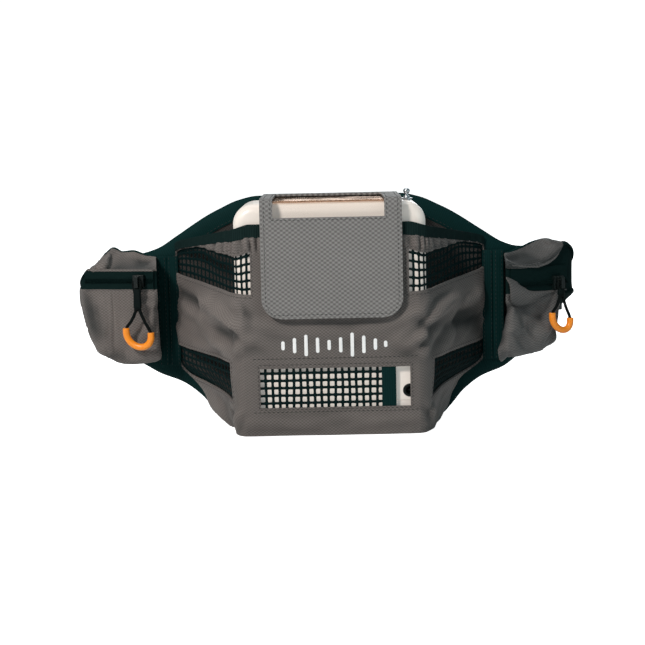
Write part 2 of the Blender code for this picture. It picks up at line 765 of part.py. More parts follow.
def build_webbing(pouch, wrap):
    """One belt half: wing to buckle, then the wrap points (outward X, Y) at the buckle."""
    plan = belt_plan(pouch)
    last = len(plan) - 1
    points = [(q.x, q.y, WING_BELT_Z + (BUCKLE_Z - WING_BELT_Z) * smoothstep(i / last))
              for i, q in enumerate(plan)]
    points += [(pouch.side * x, y, BUCKLE_Z) for x, y in wrap]

    def point(k, share):
        x, y, z = points[k]
        return (x, y, z + (share - 0.5) * WEB_H)

    sheet("belt_webbing_" + pouch.name, point, list(range(len(points))), [0, 1], WEB,
          WEBBING)


def bar_wrap(half):
    """Belt path round a strap bar: in along the wearer's side, back along the far side."""
    clear = WEB / 2 + 0.4
    points = [(60, BELT_Y), (42, BUCKLE_Y - half - clear)]
    for sign, start in ((-1, 270), (1, 180)):
        for i in range(3):
            angle = math.radians(start - 45 * i)
            points.append((BAR_INNER + clear * math.cos(angle),
                           BUCKLE_Y + sign * half + clear * math.sin(angle)))
    points += [(BAR_OUTER + 1.5, BUCKLE_Y + half + clear), (48, BUCKLE_Y + half - 1.5),
               (62, 231.0)]
    return points


def build_belt():
    # right half: the end is sewn down. left half: the tail runs on through the keeper.
    build_webbing(POUCH_RIGHT, bar_wrap(FEMALE_HALF_T) + [(72, 230.6)])
    build_webbing(POUCH_LEFT, [(80, BELT_Y)] + bar_wrap(MALE_HALF_T)
                  + [(78, 230.8), (108, 231.0)])


def buckle_box(name, x0, x1, half_y, half_z, mat=None, rounding=0.0):
    return box(name, (x0, BUCKLE_Y - half_y, BUCKLE_Z - half_z),
               (x1, BUCKLE_Y + half_y, BUCKLE_Z + half_z), mat, rounding=rounding)


def build_buckle_female():
    """Hollow shell, open towards the male half, with side windows and a strap bar."""
    female = buckle_box("buckle_female", -3.7, BAR_OUTER, FEMALE_HALF_T, 24.5,
                        BLACK_PLASTIC, rounding=1.6)
    cut(female, buckle_box("f_cavity", -8, 20.5, 3.4, 17.5))
    cut(female, buckle_box("f_windows", 5.5, 17.0, 2.6, 30))
    cut(female, buckle_box("f_slot", SLOT_INNER, BAR_INNER, 9, 20.2))


# upper half of the prongs, X and Z from the buckle's centre, tongue to arm root
PRONG_HALF = [(17.5, 2.2), (-4.6, 3.0), (-4.6, 9.5), (12, 11.2), (19.0, 13.4),
              (14.0, 16.4), (-8, 16.4)]


def build_buckle_male():
    """Frame with a strap bar, a centre tongue and two sprung arms."""
    male = buckle_box("buckle_male", -BAR_OUTER, -4.4, MALE_HALF_T, 24, BLACK_PLASTIC,
                      rounding=1.6)
    cut(male, buckle_box("m_slot", -BAR_INNER, -SLOT_INNER, 9, 20.2))
    outline = [(x, -z) for x, z in reversed(PRONG_HALF)] + PRONG_HALF
    prongs = plate("m_prongs", outline, -2.6, 2.6, "Y")
    prongs.location = Vector((0, BUCKLE_Y, BUCKLE_Z)) * MM
    add(male, prongs)


def build_strap_keeper():
    """A loop round both layers of the left webbing."""
    keeper = box("strap_keeper", (-91, 225.0, BUCKLE_Z - 22.5), (-81, 235.2, BUCKLE_Z + 22.5),
                 BLACK_PLASTIC, rounding=0.8, segments=1, origin=(-86, 229.7, BUCKLE_Z))
    cut(keeper, box("keeper_hole", (-96, 226.7, BUCKLE_Z - 19.9),
                    (-76, 233.0, BUCKLE_Z + 19.9)))


# =====================================================================
# THE CONCENTRATOR
# =====================================================================
# --------------------------------------------------------------------- case
PANEL_X0, PANEL_X1, PANEL_HALF_D = -50.0, 44.0, 21.0   # control panel in the case top
PANEL_GAP = 0.3
NOZZLE = (61.5, -10.0)    # X, Y of the cannula nozzle
SOCKET = (60.5, 33.6)     # X, Z of the power socket
HALF_GAP = 0.15           # half the gap between the case halves
# name, X range, half depth, half height and heights of the end grilles' slots
GRILLES = [
    ("intake", (60, 90), 20, 1.6, (58, 66, 74, 82)),
    ("exhaust", (-90, -60), 16, 1.8, (138, 146, 154)),
]


def rounded(x0, z0, x1, z1, foot, corner, steps):
    """Rounded rectangle outline, anticlockwise, foot and corner the two radii."""
    points = []
    for centre_x, centre_z, radius, start in (
        (x1 - foot, z0 + foot, foot, -90),
        (x1 - corner, z1 - corner, corner, 0),
        (x0 + corner, z1 - corner, corner, 90),
        (x0 + foot, z0 + foot, foot, 180),
    ):
        for i in range(steps + 1):
            angle = math.radians(start + 90 * i / steps)
            points.append((centre_x + radius * math.cos(angle),
                           centre_z + radius * math.sin(angle)))
    return points


def unit_body(name, mat=None, grow=0.0, corner_steps=5, rim_segments=3):
    """Rounded slab of case and battery together, grown by grow on every side."""
    half_w, half_d = UNIT_HALF_W + grow, UNIT_HALF_D + grow
    outline = rounded(-half_w, UNIT_Z0 - grow, half_w, UNIT_Z1 + grow,
                      CASE_FOOT + grow, CASE_CORNER + grow, corner_steps)
    return plate(name, outline, -half_d, half_d, "Y", mat, CASE_RIM + grow, rim_segments)


def case_half(name, y0, y1, cavity):
    half = unit_body(name, CREAM)
    cut(half, box(name + "_keep", (-90, y0, CASE_Z0), (90, y1, 200)), "INTERSECT")
    cut(half, cavity)
    return half


def build_case():
    cavity = unit_body("case_cavity", grow=-CASE_WALL, corner_steps=3, rim_segments=2)
    # the cavity stops above the case floor
    cut(cavity, box("cavity_floor", (-90, -50, -10), (90, 50, CAVITY_FLOOR)))
    front = case_half("case_front", -60, -HALF_GAP, cavity)
    rear = case_half("case_rear", HALF_GAP, 60, cavity)
    hole_y = PANEL_HALF_D + PANEL_GAP
    panel_hole = box("panel_hole", (PANEL_X0 - PANEL_GAP, -hole_y, UNIT_Z1 - 6),
                     (PANEL_X1 + PANEL_GAP, hole_y, UNIT_Z1 + 6))
    cut(front, panel_hole)
    cut(rear, panel_hole)
    cut(front, cylinder("nozzle_hole", 3.35, 170, 190, "Z", NOZZLE, segments=16))
    cut(front, cylinder("jack_hole", 5.3, -45, -25, "Y", SOCKET, segments=16))
    # the grille slots go through each end wall, across the split
    for name, (x0, x1), half_y, half_z, heights in GRILLES:
        for k, z in enumerate(heights):
            slot = box(f"{name}_slot_{k}", (x0, -half_y, z - half_z), (x1, half_y, z + half_z))
            cut(front, slot)
            cut(rear, slot)
    cut(rear, box("latch_pocket", (-14.5, UNIT_HALF_D - 1.6, CASE_Z0 - 4),
                  (14.5, UNIT_HALF_D + 6, CASE_Z0 + 18.5)))


# ------------------------------------------------------------ control panel
# name: X, Y, radius, material
BUTTONS = {
    "power_button": (-38.0, 0.0, 7.0, SILVER),
    "flow_minus_button": (-20.5, -11.0, 4.6, BLACK_PLASTIC),
    "flow_plus_button": (-20.5, 11.0, 4.6, BLACK_PLASTIC),
}
DISPLAY_X0, DISPLAY_X1, DISPLAY_HALF_D = -11.0, 25.0, 13.0
BOARD_T = 1.6
BOARD_Z = UNIT_Z1 - 9.4   # underside of the control board
# X, Y, width, depth, height of the chips under the control board
CHIPS = [(-24, 2, 12, 12, 2.2), (30, -14, 9, 9, 2.0), (2, 0, 14, 8, 1.9)]
MAIN_Y0 = -29.0           # front face of the main board
MAIN_Y1 = MAIN_Y0 + BOARD_T
# X, Z, width, tall size, height off the main board's rear face
MAIN_PARTS = [
    (-40, 150, 16, 16, 2.4), (-8, 146, 20, 12, 3.2), (28, 152, 14, 18, 3.0),
    (-30, 112, 24, 10, 4.0), (20, 112, 30, 12, 3.4),
]


def build_control_panel():
    """Panel with button holes and a display recess."""
    panel = box("control_panel", (PANEL_X0, -PANEL_HALF_D, UNIT_Z1 - 3.2),
                (PANEL_X1, PANEL_HALF_D, UNIT_Z1 + 0.3), SILVER, rounding=0.5, segments=1)
    for name, (x, y, radius, _) in BUTTONS.items():
        cut(panel, cylinder(name + "_hole", radius + PANEL_GAP, UNIT_Z1 - 9, UNIT_Z1 + 9,
                            "Z", (x, y), segments=20))
    recess_y = DISPLAY_HALF_D + PANEL_GAP
    cut(panel, box("display_recess", (DISPLAY_X0 - PANEL_GAP, -recess_y, UNIT_Z1 - 9),
                   (DISPLAY_X1 + PANEL_GAP, recess_y, UNIT_Z1 + 9)))


def build_display_window():
    box("display_window", (DISPLAY_X0, -DISPLAY_HALF_D, UNIT_Z1 - 1.2),
        (DISPLAY_X1, DISPLAY_HALF_D, UNIT_Z1 + 0.2), GLASS, rounding=0.3, segments=1)


def build_buttons():
    for name, (x, y, radius, mat) in BUTTONS.items():
        button = cylinder(name, radius, UNIT_Z1 - 2.6, UNIT_Z1 + 1.0, "Z", (x, y), mat,
                          segments=20, rim=0.5)
        add(button, cylinder(name + "_stem", 1.6, UNIT_Z1 - 6.2, UNIT_Z1 - 1.5, "Z", (x, y),
                             segments=8))


def build_control_board():
    board = box("control_board", (-50, -24, BOARD_Z), (46, 24, BOARD_Z + BOARD_T), PCB)
    for k, (x, y, width, depth, height) in enumerate(CHIPS):
        add(board, box(f"chip_{k}", (x - width / 2, y - depth / 2, BOARD_Z - height),
                       (x + width / 2, y + depth / 2, BOARD_Z + 0.5)))
    # the display's own block stands on the board, under its window
    inset = 0.5
    block_y = DISPLAY_HALF_D - inset
    add(board, box("display_block", (DISPLAY_X0 + inset, -block_y, BOARD_Z + 1.0),
                   (DISPLAY_X1 - inset, block_y, UNIT_Z1 - 1.5)))


def build_main_board():
    main = box("main_board", (-58, MAIN_Y0, 98), (50, MAIN_Y1, 166), PCB)
    for k, (x, z, width, tall, height) in enumerate(MAIN_PARTS):
        add(main, box(f"part_{k}", (x - width / 2, MAIN_Y1 - 0.5, z - tall / 2),
                      (x + width / 2, MAIN_Y1 + height, z + tall / 2)))


# ------------------------------------------------------- nozzle and socket
# radius, Z down the nozzle: closed tip, two barbs, collar, shank
NOZZLE_PROFILE = [
    (0.0, 191.1), (1.9, 191.1), (3.0, 189.1), (2.2, 188.5), (2.2, 187.3), (3.0, 186.5),
    (2.2, 185.7), (2.2, 183.7), (4.6, 183.4), (4.6, 182.4), (3.0, 182.2), (3.0, 174.5),
    (0.0, 174.5),
]


def build_cannula_nozzle():
    """A barbed metal spigot with a collar, turned."""
    mesh = bpy.data.meshes.new("cannula_nozzle")
    mesh.from_pydata([(radius * MM, 0, z * MM) for radius, z in NOZZLE_PROFILE],
                     [(i, i + 1) for i in range(len(NOZZLE_PROFILE) - 1)], [])
    nozzle = bpy.data.objects.new("cannula_nozzle", mesh)
    nozzle.location = (NOZZLE[0] * MM, NOZZLE[1] * MM, 0)
    screw = nozzle.modifiers.new("turned", "SCREW")
    screw.steps = 18
    screw.render_steps = 18
    screw.use_merge_vertices = True
    screw.merge_threshold = 0.00001
    screw.use_smooth_shade = True
    finish(nozzle, STEEL)


def build_power_socket():
    jack = cylinder("power_socket", 5.0, -34.3, -24.0, "Y", SOCKET, BLACK_PLASTIC,
                    segments=16)
    cut(jack, cylinder("socket_bore", 3.3, -40, -27, "Y", SOCKET, segments=12))
    add(jack, cylinder("socket_pin", 0.9, -33.2, -25, "Y", SOCKET, segments=8))


# --------------------------------------------------------------- compressor
# A direct-drive opposed pair: shaft along Y, cylinders along X.
COMP_Z = 64.0
ECCENTRICITY = 3.5
SHAFT = (0, COMP_Z)       # X, Z of the shaft
BARREL_Y = -12.5
BARREL = (BARREL_Y, COMP_Z)   # Y, Z of the cylinders' axis
CRANK_Y0, CRANK_Y1 = -25.0, 0.0
PORT_X = 51.2


def build_crankcase():
    crank = cylinder("compressor_crankcase", 23.0, CRANK_Y0, CRANK_Y1, "Y", SHAFT, ALU,
                     segments=28)
    cut(crank, cylinder("crank_bore", 20.0, CRANK_Y0 - 5, CRANK_Y1 - 3.0, "Y", SHAFT,
                        segments=28))
    cut(crank, cylinder("crank_cross_bore", 9.0, -40, 40, "X", BARREL, segments=20))
    cut(crank, cylinder("crank_shaft_hole", 3.6, -10, 10, "Y", SHAFT, segments=16))


def build_motor_housing():
    """Cup closed at the rear, with the stator ring inside."""
    can = cylinder("motor_housing", 22.0, 0.4, 29.0, "Y", SHAFT, BLACK_PLASTIC,
                   segments=28, rim=1.0)
    cut(can, cylinder("can_bore_front", 19.8, -3, 5, "Y", SHAFT))
    cut(can, cylinder("can_bore_rear", 19.8, 23, 26.5, "Y", SHAFT))
    cut(can, cylinder("stator_bore", 12.2, 2, 25, "Y", SHAFT))


def build_rotor():
    """Rotor with its shaft and eccentric."""
    rotor = cylinder("compressor_rotor", 11.7, 6, 22, "Y", SHAFT, STEEL,
                     origin=(0, 14, COMP_Z))
    add(rotor, cylinder("rotor_shaft", 3.0, -22.0, 25.5, "Y", SHAFT, segments=16))
    add(rotor, cylinder("eccentric", 7.6, -19.0, -7.0, "Y", (ECCENTRICITY, COMP_Z),
                        segments=20))


def build_barrel(side, name):
    """Cylinder with its head and outlet port."""
    barrel = cylinder(f"cylinder_{name}", 15.0, *span(side, 24.0, 46.5), "X", BARREL, ALU)
    x0, x1 = span(side, 45.5, 56.0)
    add(barrel, box(f"head_{name}", (x0, -27, COMP_Z - 16), (x1, 2, COMP_Z + 16),
                    rounding=1.5, segments=1))
    add(barrel, cylinder(f"port_{name}", 2.6, COMP_Z + 12, COMP_Z + 21, "Z",
                         (side * PORT_X, BARREL_Y), segments=12))
    cut(barrel, cylinder(f"bore_{name}", 12.0, *span(side, 20.0, 47.0), "X", BARREL))


def build_piston(side, name):
    """Wobble piston: big-end ring, rod and crown; the ring clears the eccentric."""
    y0, y1 = (-19.0, -13.4) if side < 0 else (-12.6, -7.0)
    piston = cylinder(f"piston_{name}", 14.6, y0, y1, "Y", SHAFT, ALU, segments=20)
    x0, x1 = span(side, 13.0, 38.0)
    add(piston, box(f"rod_{name}", (x0, y0 + 0.4, COMP_Z - 3.2),
                    (x1, y1 - 0.4, COMP_Z + 3.2)))
    add(piston, cylinder(f"crown_{name}", 11.6, *span(side, 36.0, 41.0), "X", BARREL,
                         segments=20))
    cut(piston, cylinder(f"ring_hole_{name}", 11.8, -30, 10, "Y", SHAFT, segments=20))


def build_rubber_mounts():
    """A pad under each cylinder, joined by a strip."""
    mounts = box("rubber_mounts", (-44, -20, CAVITY_FLOOR + 0.4),
                 (44, -5, CAVITY_FLOOR + 3.4), RUBBER)
    for side in (-1, 1):
        x0, x1 = span(side, 26.0, 43.0)
        add(mounts, box(f"mount_pad_{side}", (x0, -19, CAVITY_FLOOR + 2.0),
                        (x1, -6, COMP_Z - 15.4), rounding=1.0, segments=1))


def build_compressor():
    build_crankcase()
    build_motor_housing()
    build_rotor()
    for side, name in ((-1, "left"), (1, "right")):
        build_barrel(side, name)
        build_piston(side, name)
    build_rubber_mounts()


# ------------------------------------------------------------ sieve columns
SIEVE_Y, SIEVE_R = 14.0, 13.0
SIEVE_Z = {"lower": 110.0, "upper": 139.0}
# Y, Z of the round bodies on the end of the manifold
SOLENOIDS = [(7, 103), (21, 103), (7, 118), (21, 118), (14, 141)]


def build_sieve_columns():
    for name, z in SIEVE_Z.items():
        cylinder(f"sieve_column_{name}", SIEVE_R, -42.0, 42.0, "X", (SIEVE_Y, z), ALU,
                 segments=28, rim=1.0)


def build_valve_manifold():
    margin = SIEVE_R + 1
    valve = box("valve_manifold", (42.4, SIEVE_Y - margin, SIEVE_Z["lower"] - margin),
                (56.0, SIEVE_Y + margin, SIEVE_Z["upper"] + margin), BLACK_PLASTIC,
                rounding=1.5, segments=1)
    for k, centre in enumerate(SOLENOIDS):
        add(valve, cylinder(f"solenoid_{k}", 5.2, 54, 68.5, "X", centre, segments=12))


def build_product_tank():
    cylinder("product_tank", 9.5, -34, 40, "X", (-11.0, 143), TUBING, segments=20, rim=1.5)


# ------------------------------------------------------- fan and air filter
FAN_X0, FAN_X1 = -70.5, -61.0
FAN_MID_X = (FAN_X0 + FAN_X1) / 2
FAN_Y, FAN_Z = -2.0, 146.0
FAN_AXIS = (FAN_Y, FAN_Z)
FAN_HALF = 20             # half side of the square frame
STRUTS = 3
BLADES = 7
BLADE_PITCH = 35          # degrees about the blade's own long axis


def build_fan_frame():
    fan = box("fan_frame", (FAN_X0, FAN_Y - FAN_HALF, FAN_Z - FAN_HALF),
              (FAN_X1, FAN_Y + FAN_HALF, FAN_Z + FAN_HALF), BLACK_PLASTIC,
              rounding=1.0, segments=1)
    cut(fan, cylinder("fan_duct", 18.6, FAN_X0 - 5, FAN_X1 + 5, "X", FAN_AXIS, segments=28))
    for k in range(STRUTS):
        turn = Matrix.Rotation(math.radians(360 / STRUTS * k + 90), 4, "X")
        add(fan, box(f"strut_{k}", (FAN_X1 - 1.6, 2.0, -1.1), (FAN_X1 - 0.1, 19.4, 1.1),
                     frame=Matrix.Translation((0, FAN_Y, FAN_Z)) @ turn))
    add(fan, cylinder("fan_seat", 5.0, FAN_X1 - 1.7, FAN_X1, "X", FAN_AXIS, segments=16))


def build_fan_rotor():
    hub = cylinder("fan_rotor", 8.0, FAN_X0 + 0.6, FAN_X1 - 2.2, "X", FAN_AXIS,
                   BLACK_PLASTIC, segments=20, rim=0.6, origin=(FAN_MID_X, FAN_Y, FAN_Z))
    centre = Matrix.Translation((FAN_MID_X - 0.8, FAN_Y, FAN_Z))
    pitch = Matrix.Rotation(math.radians(BLADE_PITCH), 4, "Y")
    for k in range(BLADES):
        # the blade is 7.0 to 17.6 from the axis along Y, turned into place; it is
        # pitched about Y through the hub's centre
        turn = Matrix.Rotation(math.radians(360 * k / BLADES), 4, "X")
        add(hub, box(f"blade_{k}", (-3.4, 7.0, -0.45), (3.4, 17.6, 0.45),
                     frame=centre @ turn @ pitch, smooth_angle=None))


def build_intake_filter():
    box("intake_filter", (64.5, -22, 52), (71.4, 22, 88), FOAM, rounding=1.0, segments=1)


# -------------------------------------------------------------------- hoses
FEED_R = 2.2
PRODUCT_R = 1.8
PORT_TOP = COMP_Z + 21.5
ARCH_Z = 93
# left and right legs of the feed hose, from the port up to the arch: X on the right
FEED_LEG = [
    (PORT_X, BARREL_Y, PORT_TOP), (PORT_X, BARREL_Y, PORT_TOP + 3), (49, -13, 91.5),
    (42, -14.5, ARCH_Z),
]
FEED_BRANCH = [(28, -15, ARCH_Z), (36, -9, 92), (45, 1, 90.6), (49.5, 8, 91.5),
               (50, 9, 95.5)]
PRODUCT_PATH = [(40.5, -11, 143), (46, -12, 143.5), (54, -13, 146), (60.5, -11, 152),
                (*NOZZLE, 160), (*NOZZLE, 166)]


def build_feed_hose():
    """The two outlets join above the compressor and feed the valve manifold."""
    left_leg = [(-x, y, z) for x, y, z in FEED_LEG]
    feed = tube("feed_hose", left_leg + [(0, -15, ARCH_Z)] + FEED_LEG[::-1], FEED_R, TUBING)
    add(feed, tube("feed_branch", FEED_BRANCH, FEED_R))


def build_product_hose():
    hose = tube("product_hose", smooth_path(PRODUCT_PATH, 3), PRODUCT_R, TUBING)
    # in-line outlet filter under the nozzle
    add(hose, cylinder("outlet_filter", 5.4, 161, 174.1, "Z", NOZZLE, segments=16, rim=0.6))


# ------------------------------------------------------------------ battery
WELL_HALF_W, WELL_HALF_D = 69, 30.4
LID_GAP = 0.3
CELL_COUNT = 6
CELL_PITCH = 18.6
CELL_R = 8.6
CELL_HALF_L = 29.8
CELL_Z = UNIT_Z0 + 11.0
FIRST_CELL_X = -CELL_PITCH * (CELL_COUNT - 1) / 2


def build_battery_case():
    battery = unit_body("battery_case", CREAM)
    cut(battery, box("battery_keep", (-90, -60, -10), (90, 60, BATTERY_Z1)), "INTERSECT")
    cut(battery, box("battery_well", (-WELL_HALF_W, -WELL_HALF_D, UNIT_Z0 + 1.9),
                     (WELL_HALF_W, WELL_HALF_D, 40)))


def build_battery_lid():
    half_w, half_d = WELL_HALF_W - LID_GAP, WELL_HALF_D - LID_GAP
    box("battery_lid", (-half_w, -half_d, BATTERY_Z1 - 1.6),
        (half_w, half_d, BATTERY_Z1 - 0.1), BLACK_PLASTIC)


def battery_cell(name, k, mat=None):
    return cylinder(name, CELL_R, -CELL_HALF_L, CELL_HALF_L, "Y",
                    (FIRST_CELL_X + k * CELL_PITCH, CELL_Z), mat, segments=18)


def build_cell_pack():
    cells = battery_cell("cell_pack", 0, CELL)
    for k in range(1, CELL_COUNT):
        add(cells, battery_cell(f"cell_{k}", k))
    add(cells, box("cell_strap", (FIRST_CELL_X, -26, CELL_Z - 3),
                   (-FIRST_CELL_X, 26, CELL_Z + 3)))


def build_battery_latch():
    latch = box("battery_latch", (-13.0, UNIT_HALF_D - 1.0, CASE_Z0 + 1.0),
                (13.0, UNIT_HALF_D + 1.2, CASE_Z0 + 12.5), BLACK_PLASTIC,
                rounding=0.4, segments=1)
    add(latch, box("latch_grip", (-8, UNIT_HALF_D + 1.0, CASE_Z0 + 9.0),
                   (8, UNIT_HALF_D + 2.2, CASE_Z0 + 10.6)))


# =====================================================================
def build_bag():
    build_front_fabric()
    build_nets()
    build_mouth_hem()
    build_base_panel()
    build_back_panel()
    build_seam_tapes()
    build_pouches()
    build_flap_top()
    build_flap_front()
    build_flap_window()
    build_hook_tape()
    build_belt()
    build_buckle_female()
    build_buckle_male()
    build_strap_keeper()


def build_concentrator():
    build_case()
    build_control_panel()
    build_display_window()
    build_buttons()
    build_control_board()
    build_main_board()
    build_cannula_nozzle()
    build_power_socket()
    build_compressor()
    build_sieve_columns()
    build_valve_manifold()
    build_product_tank()
    build_fan_frame()
    build_fan_rotor()
    build_intake_filter()
    build_feed_hose()
    build_product_hose()
    build_battery_case()
    build_battery_lid()
    build_cell_pack()
    build_battery_latch()


build_bag()
build_concentrator()
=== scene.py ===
"""A portable oxygen concentrator in a grey cloth carry bag with a waist belt.

The bag stands on z = 0 with its front towards -Y; left is -X and right is +X. The padded
back panel lies near y = 42, side pouches sit on its two wings, and the belt loops behind it.
Sizes are in millimetres unless said otherwise, and are scaled to metres when meshes are made.
"""

import json
import math
from types import SimpleNamespace

import bmesh
import bpy
import numpy as np
from mathutils import Matrix, Vector, noise

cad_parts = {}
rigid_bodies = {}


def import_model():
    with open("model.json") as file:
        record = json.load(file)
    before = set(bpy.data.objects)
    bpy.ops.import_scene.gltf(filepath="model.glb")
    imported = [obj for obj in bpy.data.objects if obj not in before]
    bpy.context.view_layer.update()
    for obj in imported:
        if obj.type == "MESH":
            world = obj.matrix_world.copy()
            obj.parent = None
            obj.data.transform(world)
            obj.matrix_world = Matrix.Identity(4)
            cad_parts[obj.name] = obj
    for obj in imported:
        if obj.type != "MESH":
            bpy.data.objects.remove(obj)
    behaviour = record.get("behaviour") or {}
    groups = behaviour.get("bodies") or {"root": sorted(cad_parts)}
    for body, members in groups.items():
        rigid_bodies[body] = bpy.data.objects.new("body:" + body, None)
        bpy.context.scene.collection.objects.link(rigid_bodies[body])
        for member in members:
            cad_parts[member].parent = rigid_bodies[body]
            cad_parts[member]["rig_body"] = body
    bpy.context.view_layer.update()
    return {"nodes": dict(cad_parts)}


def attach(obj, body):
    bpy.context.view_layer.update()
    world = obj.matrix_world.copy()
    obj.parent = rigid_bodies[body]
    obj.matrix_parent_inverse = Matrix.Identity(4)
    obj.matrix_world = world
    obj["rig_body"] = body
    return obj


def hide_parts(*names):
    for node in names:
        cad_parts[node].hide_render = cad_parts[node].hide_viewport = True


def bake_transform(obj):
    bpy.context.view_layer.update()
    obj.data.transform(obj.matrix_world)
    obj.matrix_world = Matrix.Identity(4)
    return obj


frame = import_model()


ROOT = bpy.context.scene.collection
bpy.context.scene.view_settings.view_transform = "Standard"

MM = 0.001
TAU = 2 * math.pi
UV_UNIT = 100.0                     # millimetres of cloth in one UV unit

CASE_HALF_WIDTH = 75.0
CASE_HALF_DEPTH = 34.0
CASE_ROUND = 8.0                    # radius of the case's front and rear edges
CASE_FOOT, CASE_TOP = 3.0, 182.0
NOZZLE_X, NOZZLE_Y = 61.5, -10

WING_ROOT = (143, 43.5)             # x and y where a wing leaves the back panel
WING_TURN = {-1: 12.0, 1: 28.0}     # degrees each wing turns rearwards
WING_STEPS = {-1: [15, 30, 45, 60], 1: [14, 28, 42, 55]}


# ------------------------------------------------------------------ materials
class Material:
    """A node material built round its Principled shader."""

    INPUTS = {"color": "Base Color", "rough": "Roughness", "metal": "Metallic",
              "normal": "Normal", "sheen": "Sheen Weight", "coat": "Coat Weight",
              "spec": "Specular IOR Level", "subsurface": "Subsurface Weight"}

    def __init__(self, name):
        self.material = bpy.data.materials.new(name)
        self.material.use_nodes = True
        self.tree = self.material.node_tree
        self.shader = self.tree.nodes["Principled BSDF"]

    def node(self, kind, **settings):
        node = self.tree.nodes.new(kind)
        for key, value in settings.items():
            setattr(node, key, value)
        return node

    def put(self, socket, value):
        """Links a socket to the input, or sets its value; plain colours become opaque."""
        if isinstance(value, bpy.types.NodeSocket):
            self.tree.links.new(value, socket)
        elif socket.type == "RGBA" and len(value) == 3:
            socket.default_value = (*value, 1.0)
        else:
            socket.default_value = value

    def math(self, operation, a, b=0.0, c=0.0):
        node = self.node("ShaderNodeMath", operation=operation)
        for socket, value in zip(node.inputs, (a, b, c)):
            self.put(socket, value)
        return node.outputs[0]

    def times(self, a, b):
        return self.math("MULTIPLY", a, b)

    def add(self, a, b):
        return self.math("ADD", a, b)

    def level(self, value, gain, offset):
        return self.math("MULTIPLY_ADD", value, gain, offset)

    def wave(self, value, pitch):
        return self.math("SINE", self.times(value, TAU / pitch))

    def smooth_range(self, value, low, high):
        node = self.node("ShaderNodeMapRange", interpolation_type="SMOOTHSTEP")
        node.inputs["From Min"].default_value = low
        node.inputs["From Max"].default_value = high
        self.put(node.inputs["Value"], value)
        return node.outputs[0]

    def cloth_mm(self):
        """Millimetres along and across the cloth, from the UV map."""
        uv = self.node("ShaderNodeUVMap", uv_map="UVMap")
        parts = self.node("ShaderNodeSeparateXYZ")
        self.put(parts.inputs[0], uv.outputs[0])
        return self.times(parts.outputs[0], UV_UNIT), self.times(parts.outputs[1], UV_UNIT)

    def object_coords(self):
        return self.node("ShaderNodeTexCoord").outputs["Object"]

    def texture(self, kind, scale, **settings):
        node = self.node(kind, **settings)
        node.inputs["Scale"].default_value = scale
        self.put(node.inputs["Vector"], self.object_coords())
        return node

    def voronoi(self, scale, feature="F1"):
        return self.texture("ShaderNodeTexVoronoi", scale, feature=feature).outputs["Distance"]

    def noise(self, scale, detail=3.0, rough=0.55, vector=None):
        node = self.node("ShaderNodeTexNoise")
        node.inputs["Scale"].default_value = scale
        node.inputs["Detail"].default_value = detail
        node.inputs["Roughness"].default_value = rough
        self.put(node.inputs["Vector"], vector or self.object_coords())
        return node.outputs["Fac"]

    def ramp(self, factor, stops):
        node = self.node("ShaderNodeValToRGB")
        elements = node.color_ramp.elements
        while len(elements) < len(stops):
            elements.new(0.5)
        for element, (position, color) in zip(elements, stops):
            element.position = position
            element.color = (*color, 1.0)
        self.put(node.inputs[0], factor)
        return node.outputs[0]

    def mix(self, factor, a, b, kind="MIX"):
        node = self.node("ShaderNodeMix", data_type="RGBA", blend_type=kind)
        for index, value in ((0, factor), (6, a), (7, b)):
            if index or isinstance(value, bpy.types.NodeSocket):
                self.put(node.inputs[index], value)
            else:
                node.inputs[0].default_value = value
        return node.outputs[2]

    def mottled(self, color, factor, tone, low=0.3, high=0.7):
        """The colour made darker and lighter by the share tone."""
        stops = [(low, (1 - tone,) * 3), (high, (1 + tone,) * 3)]
        return self.mix(1.0, color, self.ramp(factor, stops), "MULTIPLY")

    def bump(self, height, strength, distance, normal=None):
        node = self.node("ShaderNodeBump")
        node.inputs["Strength"].default_value = strength
        node.inputs["Distance"].default_value = distance
        self.put(node.inputs["Height"], height)
        if normal is not None:
            self.put(node.inputs["Normal"], normal)
        return node.outputs[0]

    def finish(self, **inputs):
        for key, value in inputs.items():
            self.put(self.shader.inputs[self.INPUTS[key]], value)
        return self.material


def shade(color, gain, lift=0.0):
    return tuple(channel * gain + lift for channel in color)


